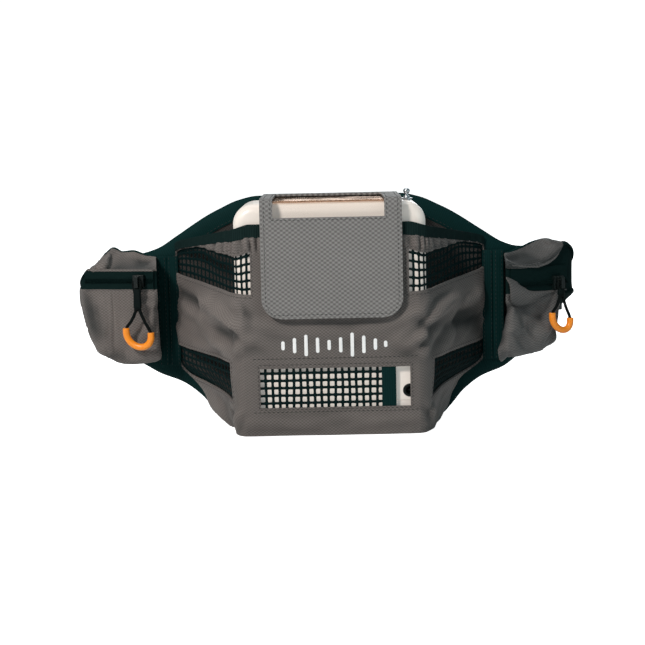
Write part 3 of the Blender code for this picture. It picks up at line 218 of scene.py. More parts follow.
def cloth_material(name, low, high, pitch, bump, mottle=0.1):
    """Dobby cloth: light floats on a diamond grid over darker ground, with a fine twill.
    pitch is the repeat in mm along and across."""
    m = Material(name)
    along, across = m.cloth_mm()
    wander = m.level(m.noise(scale=60.0, detail=2.0), gain=1.2, offset=0.0)
    wave_along = m.wave(m.add(along, wander), pitch[0])
    wave_across = m.wave(across, pitch[1])
    lattice = m.times(m.times(wave_along, wave_across), 1.0)
    floats = m.smooth_range(lattice, low=-0.75, high=0.75)
    twill = m.level(m.wave(m.add(along, across), pitch=0.7), gain=0.5, offset=0.5)
    blotches = m.noise(scale=24.0, detail=3.0, rough=0.6)
    fuzz = m.noise(scale=900.0, detail=2.0, rough=0.6)
    color = m.mix(floats, low, high)
    color = m.mix(m.times(twill, 0.22), color, shade(low, 0.6))
    color = m.mottled(color, blotches, mottle, low=0.25, high=0.75)
    # painted shade darkens the cloth down in the creases, and a painted highlight makes it paler
    # along the ridges
    crease = m.node("ShaderNodeAttribute", attribute_name="crease")
    fold_shading = m.level(crease.outputs["Fac"], gain=0.5, offset=0.5)
    stops = [(0.0, (0.30, 0.34, 0.35)), (0.5, (1.0, 1.0, 1.0)), (1.0, (1.22, 1.21, 1.20))]
    color = m.mix(1.0, color, m.ramp(fold_shading, stops), "MULTIPLY")
    height = m.add(floats, m.times(twill, 0.22))
    height = m.add(height, m.times(fuzz, 0.25))
    normal = m.bump(height, bump, distance=0.0004)
    puckers = m.noise(scale=75.0, detail=2.0, rough=0.5)
    normal = m.bump(puckers, strength=0.12, distance=0.002, normal=normal)
    rough = m.level(fuzz, gain=0.12, offset=0.7 - 0.06)
    return m.finish(color=color, rough=rough, normal=normal, sheen=0.08, spec=0.25)


def tape_material(name, color, rib, bump, rough=0.7, lift=1.9, ribs_along=True):
    """Ribbed tape or elastic. rib is the spacing in mm, lift how much paler the ribs are."""
    m = Material(name)
    along, across = m.cloth_mm()
    if not ribs_along:
        along, across = across, along
    ribs = m.wave(along, rib)
    thread = m.wave(m.add(across, m.times(ribs, 0.15)), pitch=0.8)
    height = m.add(m.level(ribs, gain=0.5, offset=0.5), m.times(thread, 0.22))
    fuzz = m.noise(scale=700.0, detail=2.0)
    tint = m.mix(m.times(height, 0.55), color, shade(color, lift, 0.0008))
    tint = m.mix(m.times(fuzz, 0.25), tint, shade(color, lift, 0.0015))
    normal = m.bump(height, bump, distance=0.0003)
    return m.finish(color=tint, rough=rough, normal=normal, sheen=0.0, spec=0.06)


def webbing_material(name, color, row=3.1):
    """Herringbone webbing. row is the width of one band of the weave in mm."""
    m = Material(name)
    along, across = m.cloth_mm()
    zigzag = m.math("PINGPONG", m.math("FRACT", m.math("DIVIDE", across, row)), 0.5)
    diagonal = m.wave(m.add(along, m.times(zigzag, 5.0)), pitch=1.5)
    rows = m.wave(across, row)
    height = m.add(m.level(diagonal, gain=0.4, offset=0.4), m.times(rows, 0.25))
    tint = m.mix(height, color, shade(color, 2.6, 0.006))
    rough = m.level(m.noise(scale=500.0, detail=2.0), gain=0.2, offset=0.5)
    normal = m.bump(height, strength=0.8, distance=0.0005)
    return m.finish(color=tint, rough=rough, normal=normal, sheen=0.03, spec=0.25)


def plastic_material(name, color, rough=0.35, grain=0.05, coat=0.0, grain_scale=1400.0,
                     spec=0.5, tone=0.04):
    m = Material(name)
    fine = m.noise(scale=grain_scale, detail=2.0, rough=0.6)
    slow = m.noise(scale=18.0, detail=3.0, rough=0.5)
    tint = m.mottled(color, slow, tone)
    roughness = m.level(slow, gain=0.10, offset=rough - 0.05)
    normal = m.bump(fine, grain, distance=0.0003)
    return m.finish(color=tint, rough=roughness, normal=normal, coat=coat, spec=spec)


def metal_material(name, color, rough, brush, strength=0.12):
    """Brushed metal. brush is the noise scale on each axis, fine across the strokes."""
    m = Material(name)
    mapping = m.node("ShaderNodeMapping")
    mapping.inputs["Scale"].default_value = brush
    m.put(mapping.inputs["Vector"], m.object_coords())
    streak = m.noise(scale=1.0, detail=4.0, rough=0.6, vector=mapping.outputs[0])
    tint = m.mottled(color, m.noise(scale=30.0), tone=0.06)
    roughness = m.level(streak, gain=0.22, offset=rough - 0.1)
    normal = m.bump(streak, strength, distance=0.0003)
    return m.finish(color=tint, metal=1.0, rough=roughness, normal=normal)


def mesh_pad_material(name, color, cell=3.4):
    """Spacer mesh: rows of small holes, cell mm apart, in a knitted face."""
    m = Material(name)
    along, across = m.cloth_mm()
    lattice = m.times(m.wave(along, cell), m.wave(across, cell * 0.85))
    holes = m.math("MAXIMUM", m.times(lattice, 1.8), 0.0)
    holes = m.math("SMOOTH_MIN", holes, 1.0, 0.15)
    fuzz = m.noise(scale=900.0, detail=2.0)
    tint = m.mix(holes, color, shade(color, 0.18))
    tint = m.mix(m.times(fuzz, 0.2), tint, shade(color, 2.2))
    height = m.math("SUBTRACT", m.times(fuzz, 0.2), holes)
    normal = m.bump(height, strength=0.9, distance=0.0008)
    return m.finish(color=tint, rough=0.85, normal=normal, sheen=0.2, spec=0.25)


def hook_material(name, color):
    m = Material(name)
    height = m.times(m.voronoi(scale=900.0, feature="DISTANCE_TO_EDGE"), 3.0)
    tint = m.mix(height, color, shade(color, 3, 0.01))
    normal = m.bump(height, strength=1.0, distance=0.0006)
    return m.finish(color=tint, rough=0.9, normal=normal, sheen=0.3)


def foam_material(name, color):
    m = Material(name)
    height = m.voronoi(scale=750.0)
    tint = m.mix(height, shade(color, 0.4), shade(color, 1.6))
    normal = m.bump(height, strength=1.0, distance=0.0012)
    return m.finish(color=tint, rough=0.95, normal=normal)


def board_material(name):
    """Green solder mask with tracks and gold pads."""
    m = Material(name)
    tracks = m.texture("ShaderNodeTexBrick", scale=240.0)
    tracks.inputs["Mortar Size"].default_value = 0.035
    tracks.inputs["Color1"].default_value = (0.012, 0.10, 0.045, 1)
    tracks.inputs["Color2"].default_value = (0.014, 0.12, 0.05, 1)
    tracks.inputs["Mortar"].default_value = (0.05, 0.24, 0.10, 1)
    pads = m.math("LESS_THAN", m.voronoi(scale=330.0), 0.17)
    tint = m.mix(pads, tracks.outputs[0], (0.75, 0.62, 0.30))
    normal = m.bump(tracks.outputs[1], strength=0.15, distance=0.0002)
    return m.finish(color=tint, rough=0.35, metal=m.times(pads, 0.8), normal=normal)


def vinyl_material(name):
    """Soft smoke-tinted clear sheet, with a painted brown reflection where it faces up or down."""
    m = Material(name)
    ripple = m.noise(scale=30.0, detail=2.0, rough=0.5)
    normal = m.bump(ripple, strength=0.12, distance=0.003)
    geometry = m.node("ShaderNodeNewGeometry")
    parts = m.node("ShaderNodeSeparateXYZ")
    m.put(parts.inputs[0], geometry.outputs["Normal"])
    brown_reflection_mask = m.smooth_range(m.math("ABSOLUTE", parts.outputs[2]), low=0.35, high=0.95)
    glossy = m.node("ShaderNodeBsdfGlossy")
    # painted reflection: the glossy layer is tinted brown, and where the sheet faces up or down its
    # see-through colour turns brown too
    glossy.inputs["Color"].default_value = (0.62, 0.50, 0.42, 1)
    glossy.inputs["Roughness"].default_value = 0.10
    clear = m.node("ShaderNodeBsdfTransparent")
    m.put(clear.inputs["Color"], m.mix(brown_reflection_mask, (0.98, 0.975, 0.97), (0.78, 0.68, 0.60)))
    fresnel = m.node("ShaderNodeFresnel")
    fresnel.inputs["IOR"].default_value = 1.45
    m.put(glossy.inputs["Normal"], normal)
    m.put(fresnel.inputs["Normal"], normal)
    mixer = m.node("ShaderNodeMixShader")
    m.put(mixer.inputs[0], m.times(fresnel.outputs[0], 0.65))
    m.put(mixer.inputs[1], clear.outputs[0])
    m.put(mixer.inputs[2], glossy.outputs[0])
    m.put(m.tree.nodes["Material Output"].inputs["Surface"], mixer.outputs[0])
    m.tree.nodes.remove(m.shader)
    return m.material


def tube_material(name, color, rough=0.3, subsurface=0.15):
    m = Material(name)
    slow = m.noise(scale=60.0, detail=2.0)
    pale = tuple(min(1.0, channel) for channel in shade(color, 1.08))
    tint = m.mix(slow, shade(color, 0.92), pale)
    normal = m.bump(m.noise(scale=600.0, detail=2.0), strength=0.06, distance=0.0003)
    return m.finish(color=tint, rough=m.level(slow, gain=0.12, offset=rough), normal=normal,
                    subsurface=subsurface, spec=0.5)


def cord_material(name, color, braid=1.3):
    """Braided cord. braid is the spacing of the strands in mm."""
    m = Material(name)
    along, around = m.cloth_mm()
    height = m.math("MAXIMUM", m.wave(m.add(along, around), braid),
                    m.wave(m.math("SUBTRACT", along, around), braid))
    tint = m.mix(m.level(height, gain=0.4, offset=0.4), color, shade(color, 2.2, 0.002))
    normal = m.bump(height, strength=0.8, distance=0.0003)
    return m.finish(color=tint, rough=0.75, normal=normal, sheen=0.0, spec=0.08)


GREY_CLOTH = cloth_material("bag_cloth", low=(0.096, 0.084, 0.079),
                            high=(0.160, 0.143, 0.136), pitch=(3.1, 2.3), bump=0.4)
# a darker, cooler copy of the bag cloth: painted shade for the right pouch, which lies in shadow
SHADED_CLOTH = cloth_material("bag_cloth_painted_shade", low=(0.066, 0.063, 0.062),
                            high=(0.110, 0.107, 0.106), pitch=(3.1, 2.3), bump=0.4)
FLAP_CLOTH = cloth_material("flap_cloth", low=(0.132, 0.127, 0.125), mottle=0.05,
                            high=(0.262, 0.257, 0.254), pitch=(4.4, 3.4), bump=0.6)
LINING = cloth_material("lining_cloth", low=(0.019, 0.0175, 0.0168), mottle=0.2,
                        high=(0.042, 0.038, 0.036), pitch=(2.4, 2.4), bump=0.3)
BLACK = (0.0013, 0.0142, 0.0142)
TAPE = tape_material("black_tape", BLACK, rib=1.7, bump=0.30)
UPRIGHT_TAPE = tape_material("black_tape_upright", BLACK, rib=1.7, bump=0.30)
ELASTIC = tape_material("ribbed_elastic", (0.0042, 0.0118, 0.0115), rib=1.9, bump=0.55,
                        rough=0.78, lift=2.0)
ZIP_TAPE = tape_material("zip_tape", (0.0014, 0.0078, 0.0076), rib=0.9, bump=0.3,
                         rough=0.75, ribs_along=False)
NET_YARN = tape_material("net_yarn", (0.0014, 0.0080, 0.0086), rib=0.9, bump=0.5)
WEBBING = webbing_material("belt_webbing", (0.006, 0.0095, 0.0095))
SPACER_MESH = mesh_pad_material("spacer_mesh", (0.022, 0.026, 0.027))
THREAD = tube_material("stitch_thread", (0.010, 0.013, 0.013), rough=0.65, subsurface=0.0)
GREY_THREAD = tube_material("stitch_thread_grey", (0.042, 0.038, 0.037), rough=0.7,
                            subsurface=0.0)
HOOK = hook_material("hook_tape", (0.010, 0.010, 0.010))
CREAM = plastic_material("cream_case", (0.72, 0.655, 0.60), rough=0.30, grain=0.035, coat=0.10)
# painted light: the cream case glows faintly, which keeps it bright behind the vent net
cream_glow_inputs = CREAM.node_tree.nodes["Principled BSDF"].inputs
cream_glow_inputs["Emission Color"].default_value = (1.0, 0.95, 0.90, 1)
cream_glow_inputs["Emission Strength"].default_value = 0.17
BRONZE = plastic_material("bronze_panel", (0.58, 0.44, 0.33), rough=0.30, coat=0.2)
ACETAL = plastic_material("black_acetal", (0.0036, 0.0072, 0.0072), rough=0.40, grain=0.12,
                          spec=0.28)
MOULDING = plastic_material("black_moulding", (0.0042, 0.0074, 0.0075), rough=0.50,
                            grain=0.15, grain_scale=2200.0, spec=0.22)
TAB = plastic_material("black_tab", (0.0018, 0.0052, 0.0052), rough=0.60, grain=0.1, spec=0.08)
STEEL = metal_material("turned_steel", (0.50, 0.52, 0.54), rough=0.30, brush=(60, 60, 1200))
CAST = metal_material("cast_aluminium", (0.60, 0.61, 0.62), rough=0.42,
                      brush=(500, 500, 500), strength=0.25)
DRAWN = metal_material("drawn_aluminium", (0.66, 0.67, 0.68), rough=0.30, brush=(20, 700, 700))
BOARD = board_material("circuit_board")
GLASS = plastic_material("display_glass", (0.012, 0.016, 0.018), rough=0.08, grain=0.0,
                         coat=0.9)
RUBBER = plastic_material("isolator_rubber", (0.020, 0.020, 0.021), rough=0.75, grain=0.3,
                          grain_scale=900.0)
SILICONE = tube_material("silicone_hose", (0.70, 0.72, 0.71), rough=0.3, subsurface=0.3)
TANK = plastic_material("tank_moulding", (0.62, 0.63, 0.62), rough=0.35, grain=0.06)
FOAM = foam_material("filter_foam", (0.05, 0.052, 0.055))
CELL_WRAP = plastic_material("cell_wrap", (0.02, 0.11, 0.28), rough=0.28, grain=0.03, coat=0.3)
ORANGE = tube_material("orange_tube", (0.98, 0.27, 0.012), rough=0.30, subsurface=0.10)
CORD = cord_material("braided_cord", (0.0014, 0.0030, 0.0030))
VINYL = vinyl_material("clear_vinyl")
PRINT = plastic_material("reflective_print", (0.86, 0.87, 0.88), rough=0.45, grain=0.08,
                         spec=0.6, tone=0.02)

SLOT_MATERIALS = {
    "grey_fabric": [GREY_CLOTH, SHADED_CLOTH, FLAP_CLOTH], "padded_lining": [LINING],
    "black_binding": [TAPE, UPRIGHT_TAPE, ELASTIC, ZIP_TAPE], "black_net": [NET_YARN],
    "black_webbing": [WEBBING], "hook_tape": [HOOK], "cream_plastic": [CREAM],
    "silver_plastic": [BRONZE], "black_plastic": [ACETAL, MOULDING], "steel": [STEEL],
    "aluminium": [CAST, DRAWN], "circuit_board": [BOARD], "display_glass": [GLASS],
    "mount_rubber": [RUBBER], "silicone": [SILICONE, TANK], "filter_foam": [FOAM],
    "cell_wrap": [CELL_WRAP], "orange_tube": [ORANGE], "black_cord": [CORD],
    "clear_vinyl": [VINYL],
}
SLOTS = {material.name: slot for slot, group in SLOT_MATERIALS.items() for material in group}


# ------------------------------------------------------------------ curves
def distances(points):
    """Distance along a line to each of its points."""
    steps = np.linalg.norm(np.diff(points, axis=0), axis=1)
    return np.concatenate([[0], np.cumsum(steps)])


def unit(vectors):
    return vectors / np.maximum(np.linalg.norm(vectors, axis=-1, keepdims=True), 1e-9)


def catmull_point(p0, p1, p2, p3, t):
    return 0.5 * (2 * p1 + (p2 - p0) * t + (2 * p0 - 5 * p1 + 4 * p2 - p3) * t * t
                  + (3 * p1 - p0 - 3 * p2 + p3) * t ** 3)


def catmull(points, steps):
    points = np.asarray(points, float)
    last = len(points) - 1
    curve = []
    for i in range(last):
        ends = points[max(i - 1, 0)], points[i], points[i + 1], points[min(i + 2, last)]
        curve += [catmull_point(*ends, k / steps) for k in range(steps)]
    return np.array(curve + [points[-1]])


def pchip(xs, ys, x):
    """Smooth interpolation that doesn't overshoot."""
    xs, ys, x = np.asarray(xs, float), np.asarray(ys, float), np.asarray(x, float)
    gap = np.diff(xs)
    rise = np.diff(ys) / gap
    slope = np.zeros_like(ys)
    for i in range(1, len(xs) - 1):
        if rise[i - 1] * rise[i] > 0:
            before, after = 2 * gap[i] + gap[i - 1], gap[i] + 2 * gap[i - 1]
            slope[i] = (before + after) / (before / rise[i - 1] + after / rise[i])
    slope[0], slope[-1] = rise[0], rise[-1]
    i = np.clip(np.searchsorted(xs, x, side="right") - 1, 0, len(xs) - 2)
    t = np.clip((x - xs[i]) / gap[i], 0, 1)
    return ((1 + 2 * t) * (1 - t) ** 2 * ys[i] + t * (1 - t) ** 2 * gap[i] * slope[i]
            + t * t * (3 - 2 * t) * ys[i + 1] + t * t * (t - 1) * gap[i] * slope[i + 1])


def smoothstep(start, end, x):
    t = np.clip((np.asarray(x, float) - start) / (end - start), 0, 1)
    return t * t * (3 - 2 * t)


def divided(stations, steps):
    """Stations with steps(a, b) equal parts between each neighbouring pair."""
    values = []
    for a, b in zip(stations, stations[1:]):
        values.extend(np.linspace(a, b, steps(a, b), endpoint=False).tolist())
    return np.array(values + [stations[-1]])


def noise_at(x, y, z):
    return noise.noise(Vector((x, y, z)))


def two_octaves(x, y, z):
    return (noise_at(x, y, z) + 0.5 * noise_at(x * 2.03, y * 2.03, z * 2.03)) / 1.5


# ------------------------------------------------------------------- builders
def fit(obj, *nodes, body="bag"):
    if nodes:
        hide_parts(*nodes)
    if body:
        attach(obj, body)
    return obj


def new_object(name, mesh, material=None):
    obj = bpy.data.objects.new(name, mesh)
    ROOT.objects.link(obj)
    if material is not None:
        mesh.materials.append(material)
    return obj


def mesh_object(name, points, faces, material, smooth=True):
    mesh = bpy.data.meshes.new(name)
    mesh.from_pydata((np.asarray(points) * MM).tolist(), [], faces)
    if smooth:
        mesh.shade_smooth()
    return new_object(name, mesh, material)


def set_uv(mesh, uv):
    """UV map from millimetres at each vertex."""
    layer = mesh.uv_layers.new(name="UVMap")
    loops = np.zeros(len(mesh.loops), int)
    mesh.loops.foreach_get("vertex_index", loops)
    layer.data.foreach_set("uv", (uv / UV_UNIT)[loops].astype(np.float32).ravel())


def arc_uv(points):
    """UV in mm from arc lengths through the middle of the grid."""
    rows, columns = points.shape[:2]
    middle = columns // 2
    along = distances(points[:, middle])
    across = np.zeros((rows, columns))
    across[:, 1:] = np.cumsum(np.linalg.norm(np.diff(points, axis=1), axis=2), axis=1)
    across = across - across[:, middle][:, None]
    return np.stack([np.repeat(along[:, None], columns, 1), across], -1)


def grid_uv(along, across):
    """UV of a grid from one list for its rows and one for its columns."""
    return np.stack(np.broadcast_arrays(np.asarray(along)[:, None], across), -1)


def grid_object(name, points, material, uv=None, hole=None, flip=False, close=False,
                crease=None):
    """Object from points[i, j]. hole[i, j] leaves a cell out, close joins the last column
    to the first. crease[i, j] is -1 in a hollow and 1 on a ridge."""
    points = np.asarray(points, float)
    rows, columns = points.shape[:2]
    index = np.arange(rows * columns).reshape(rows, columns)
    if close:
        index = np.hstack([index, index[:, :1]])
    cells = np.stack([index[:-1, :-1], index[1:, :-1], index[1:, 1:], index[:-1, 1:]], -1)
    faces = cells.reshape(-1, 4) if hole is None else cells[~hole]
    if flip:
        faces = faces[:, ::-1]
    used = np.unique(faces)
    renumber = -np.ones(rows * columns, int)
    renumber[used] = np.arange(len(used))
    obj = mesh_object(name, points.reshape(-1, 3)[used], renumber[faces].tolist(), material)
    if uv is None:
        uv = arc_uv(points)
    set_uv(obj.data, np.asarray(uv, float).reshape(-1, 2)[used])
    if crease is not None:
        # the crease values drive painted shade in the hollows and painted highlight on the ridges
        fold_shading_layer = obj.data.attributes.new("crease", "FLOAT", "POINT")
        values = np.clip(np.asarray(crease, float).reshape(-1)[used], -1, 1)
        fold_shading_layer.data.foreach_set("value", values.astype(np.float32))
    return obj


def tube_faces(rings, sides, first):
    """Faces between neighbouring rings of vertices, numbered from first."""
    faces = []
    for i in range(rings - 1):
        for j in range(sides):
            a = first + i * sides + j
            b = first + i * sides + (j + 1) % sides
            faces.append((a, b, b + sides, a + sides))
    return faces


def soften(obj, width, segments, degrees):
    bevel = obj.modifiers.new("soft_edge", "BEVEL")
    bevel.width = width * MM
    bevel.segments = segments
    bevel.limit_method = "ANGLE"
    bevel.angle_limit = math.radians(degrees)


def solidify(obj, thickness, rim=0.0, segments=2):
    """Thickness about the middle surface, with rounded edges where rim is given."""
    modifier = obj.modifiers.new("thickness", "SOLIDIFY")
    modifier.thickness = thickness * MM
    modifier.offset = 0.0
    modifier.use_even_offset = False
    if rim:
        soften(obj, rim, segments, degrees=55)
    return obj


def bake(obj):
    """Applies the modifiers."""
    graph = bpy.context.evaluated_depsgraph_get()
    mesh = bpy.data.meshes.new_from_object(
        obj.evaluated_get(graph), preserve_all_data_layers=True, depsgraph=graph)
    old = obj.data
    obj.modifiers.clear()
    obj.data = mesh
    bpy.data.meshes.remove(old)
    return obj


def bm_object(name, bm, material, angle=35.0):
    """Object from a bmesh in mm, turned outside out."""
    bmesh.ops.recalc_face_normals(bm, faces=bm.faces)
    if bm.calc_volume(signed=True) < 0:
        bmesh.ops.reverse_faces(bm, faces=bm.faces)
    for vert in bm.verts:
        vert.co *= MM
    mesh = bpy.data.meshes.new(name)
    bm.to_mesh(mesh)
    bm.free()
    mesh.shade_smooth()
    mesh.set_sharp_from_angle(angle=math.radians(angle))
    return new_object(name, mesh, material)


def polish(node, material, bevel, angle=30.0, segments=2):
    """A CAD piece with its facets merged, its edges softened and its round faces smooth."""
    source = frame["nodes"][node]
    bm = bmesh.new()
    bm.from_mesh(source.data)
    bmesh.ops.remove_doubles(bm, verts=bm.verts, dist=2e-6)
    bmesh.ops.dissolve_limit(bm, angle_limit=math.radians(1.2), verts=bm.verts, edges=bm.edges)
    bm.normal_update()
    mesh = bpy.data.meshes.new(node + "_look")
    bm.to_mesh(mesh)
    bm.free()
    mesh.shade_smooth()
    mesh.set_sharp_from_angle(angle=math.radians(angle))
    obj = new_object(node + "_look", mesh, material)
    if bevel:
        soften(obj, bevel, segments, angle)
    return fit(obj, node, body=source["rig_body"])


def tube(name, points, radius, material, sides=10, up=(0, 0, 1)):
    """Round capped tube. UV runs along and around in mm; up sets where a ring starts."""
    points = np.asarray(points, float)
    tangents = unit(np.gradient(points, axis=0))
    normals = np.zeros_like(tangents)
    normal = np.array(up, float)
    for i, tangent in enumerate(tangents):
        normal = normal - tangent * (normal @ tangent)
        if np.linalg.norm(normal) < 1e-6:
            normal = np.cross(tangent, [1.0, 0.0, 0.0])
        normal /= np.linalg.norm(normal)
        normals[i] = normal
    sideways = np.cross(tangents, normals)
    angle = np.linspace(0, TAU, sides, endpoint=False)
    ring = (np.cos(angle)[None, :, None] * normals[:, None]
            + np.sin(angle)[None, :, None] * sideways[:, None])
    obj = grid_object(name, points[:, None] + ring * float(radius), material,
                      grid_uv(distances(points), angle * radius), close=True)
    bm = bmesh.new()
    bm.from_mesh(obj.data)
    bmesh.ops.holes_fill(bm, edges=[e for e in bm.edges if e.is_boundary], sides=0)
    bmesh.ops.recalc_face_normals(bm, faces=bm.faces)
    bm.to_mesh(obj.data)
    bm.free()
    obj.data.set_sharp_from_angle(angle=math.radians(50))
    return obj


def join(name, parts):
    """One object from several, keeping their materials."""
    materials = []
    bm = bmesh.new()
    layer = bm.loops.layers.uv.new("UVMap")
    for obj in parts:
        if obj.modifiers:
            bake(obj)
    for obj in parts:
        for material in obj.data.materials:
            if material not in materials:
                materials.append(material)
        part = bmesh.new()
        part.from_mesh(obj.data)
        source = part.loops.layers.uv.get("UVMap")
        copies = {vert: bm.verts.new(vert.co) for vert in part.verts}
        for face in part.faces:
            # a face laid twice on the same vertices is refused and skipped
            try:
                copy = bm.faces.new([copies[vert] for vert in face.verts])
            except ValueError:
                continue
            copy.smooth = face.smooth
            copy.material_index = materials.index(obj.data.materials[face.material_index])
            if source:
                for old, new in zip(face.loops, copy.loops):
                    new[layer].uv = old[source].uv
        part.free()
    mesh = bpy.data.meshes.new(name)
    bm.to_mesh(mesh)
    bm.free()
    for material in materials:
        mesh.materials.append(material)
    mesh.set_sharp_from_angle(angle=math.radians(50))
    for obj in parts:
        bpy.data.objects.remove(obj)
    return new_object(name, mesh)


def stitches(name, paths, material, length=2.3, pitch=3.5, width=0.55, height=0.32, lift=0.15):
    """Rows of thread. Each path is (points, normals); a stitch lies along the path,
    lifted along the normal."""
    sides, rings = 8, 5
    around = np.linspace(0, TAU, sides, endpoint=False)
    shape = np.array([[math.sin(p) * length / 2, math.cos(p) * math.cos(a) * width / 2,
                       math.cos(p) * math.sin(a) * height / 2]
                      for p in np.linspace(-math.pi / 2, math.pi / 2, rings) for a in around])
    verts, faces = [], []
    for points, normals in paths:
        along = distances(points)
        end = along[-1]

        def point_at(distance, values):
            return np.array([np.interp(distance, along, values[:, i]) for i in range(3)])

        count = max(1, int(end / pitch))
        for k in range(count):
            place = (k + 0.5) * end / count
            tangent = unit(point_at(min(place + 1, end), points)
                           - point_at(max(place - 1, 0), points))
            normal = point_at(place, normals)
            normal = unit(normal - tangent * (normal @ tangent))
            axes = np.stack([tangent, np.cross(normal, tangent), normal])
            faces += tube_faces(rings, sides, len(verts))
            verts.extend((point_at(place, points) + normal * lift + shape @ axes).tolist())
    return mesh_object(name, verts, faces, material)


# ------------------------------------------------------------------- creases
def crease_axes(x, z, x0, z0, angle):
    """Distances along and across a crease through (x0, z0)."""
    c, s = math.cos(angle), math.sin(angle)
    return (x - x0) * c + (z - z0) * s, -(x - x0) * s + (z - z0) * c


def fold(x, z, seed, x0, z0, angle, length, width, height):
    """One soft crease: a ridge along a line that fades out at both ends."""
    along, across = crease_axes(x, z, x0, z0, angle)
    across += 1.6 * noise_at(along / 16.0, seed, 0.3)
    return height * math.exp(-(along / length) ** 4) * (
        math.exp(-(across / width) ** 2) - 0.6 * math.exp(-((across + 1.7 * width) / width) ** 2))


def hollow(x, z, seed, x0, z0, angle, length, width, depth):
    along, across = crease_axes(x, z, x0, z0, angle)
    across += 2.0 * noise_at(along / 18.0, seed, 2.3)
    return -depth * math.exp(-(along / length) ** 4) * math.exp(-(across / width) ** 2)


def creases(shape, table, x, z, seed, step, stretch=(1, 1, 1), reach=(math.inf, math.inf)):
    """Height of each crease in a table at (x, z). stretch scales its half length, width and
    height; reach is how far it is felt in x and z."""
    for count, (x0, z0, degrees, *size) in enumerate(table):
        if abs(x - x0) < reach[0] and abs(z - z0) < reach[1]:
            size = [value * gain for value, gain in zip(size, stretch)]
            yield shape(x, z, seed + count * step, x0, z0, math.radians(degrees), *size)


# ============================================================ the front cloth
# The cloth is laid out in columns -12 to 12 from left seam to right, and rows 0 to 12 upwards.
FRONT_Y = -38.5
FRONT_PLAN = [(x, FRONT_Y) for x in (0, 20, 39, 49.5, 61)] + [(68, -38.0)]
# x and y of columns 0 to 12, high up and at the foot
UPPER_PLAN = FRONT_PLAN + [(74.5, -33.5), (80, -25), (90, -9.5), (101, 6), (112, 20),
                           (122, 31.5), (126.5, 36.5)]
FOOT_PLAN = FRONT_PLAN + [(74, -34), (77, -27), (79, -13), (81, 0), (84, 13), (87, 29),
                          (88, 36.5)]
LEFT_X = {1: 19, 2: 38, 3: 56.5, 4: 62}     # columns that stand elsewhere on the left
# heights of rows 0 to 12
ROW_CENTRE = [0, 8, 15, 22.2, 38, 53.5, 72, 92, 112, 129, 146, 156.5, 166.5]
ROW_CORNER = [0, 8, 16, 26, 41.5, 57, 74, 94, 113, 129, 145, 153, 161.5]
ROW_SEAM = [0, 10, 24, 40, 52, 64, 83, 104, 124, 131, 137.5, 141, 147.5]


def both_sides(plan):
    left = [(-LEFT_X.get(k, plan[k][0]), plan[k][1]) for k in range(12, 0, -1)]
    return np.array(left + plan, float)


UPPER_KNOTS, FOOT_KNOTS = both_sides(UPPER_PLAN), both_sides(FOOT_PLAN)


def plan_at(knots, column):
    """Smooth curve through the columns, straight across the front."""
    column = np.clip(column, -12, 12)
    i = np.clip(np.floor(column).astype(int), -12, 11)
    part = (column - i)[..., None]
    p0, p1, p2, p3 = (knots[np.clip(i + k + 12, 0, 24)] for k in (-1, 0, 1, 2))
    flat = (np.abs(column) < 5)[..., None]
    return np.where(flat, p1 + (p2 - p1) * part, catmull_point(p0, p1, p2, p3, part))


def upper_share(z):
    """How far the cloth at height z follows the upper plan and not the foot's."""
    share = sum(np.interp(np.clip(z + d, 0, 300), [0, 10, 20, 33, 46], [0, 0.2, 0.34, 0.62, 1.0])
                for d in (-4, -2, 0, 2, 4)) / 5
    rise = smoothstep(0, 6, z)
    return share * rise + np.interp(z, [0, 10], [0, 0.2]) * (1 - rise)


def cloth_point(column, row):
    """The front cloth's middle surface, for arrays of column and row numbers."""
    column, row = np.broadcast_arrays(np.asarray(column, float), np.asarray(row, float))
    out = np.abs(column)
    # the upper windows rise to the hem towards the seams
    rise = 0.955 * smoothstep(7.6, 9.9, out) - 0.22 * np.exp(-((out - 6.0) / 1.5) ** 2)
    row = row + rise * np.clip(np.minimum((row - 8.0) / 2.0, (11.0 - row) / 1.0), 0, 1)
    centre, corner, seam = (np.interp(row, np.arange(13), heights)
                            for heights in (ROW_CENTRE, ROW_CORNER, ROW_SEAM))
    z = np.where(out <= 4, centre,
                 np.where(out <= 7, centre + (corner - centre) * smoothstep(4, 7, out),
                          corner + (seam - corner) * (out - 7) / 5))
    share = upper_share(z)
    share = np.where(column < 0,
                     np.clip(share + 0.10 * np.exp(-((z - 11) / 9.0) ** 2), 0, 1),
                     share * (1 - 0.30 * np.exp(-((z - 26) / 13.0) ** 2)))[..., None]
    plan = plan_at(FOOT_KNOTS, column) * (1 - share) + plan_at(UPPER_KNOTS, column) * share
    return np.concatenate([plan, z[..., None]], -1)


def cloth_normal(column, row):
    step = 0.15
    left, right = np.clip(column - step, -12, 12), np.clip(column + step, -12, 12)
    low, high = np.clip(row - step, 0, 12), np.clip(row + step, 0, 12)
    return unit(np.cross(cloth_point(right, row) - cloth_point(left, row),
                         cloth_point(column, high) - cloth_point(column, low)))


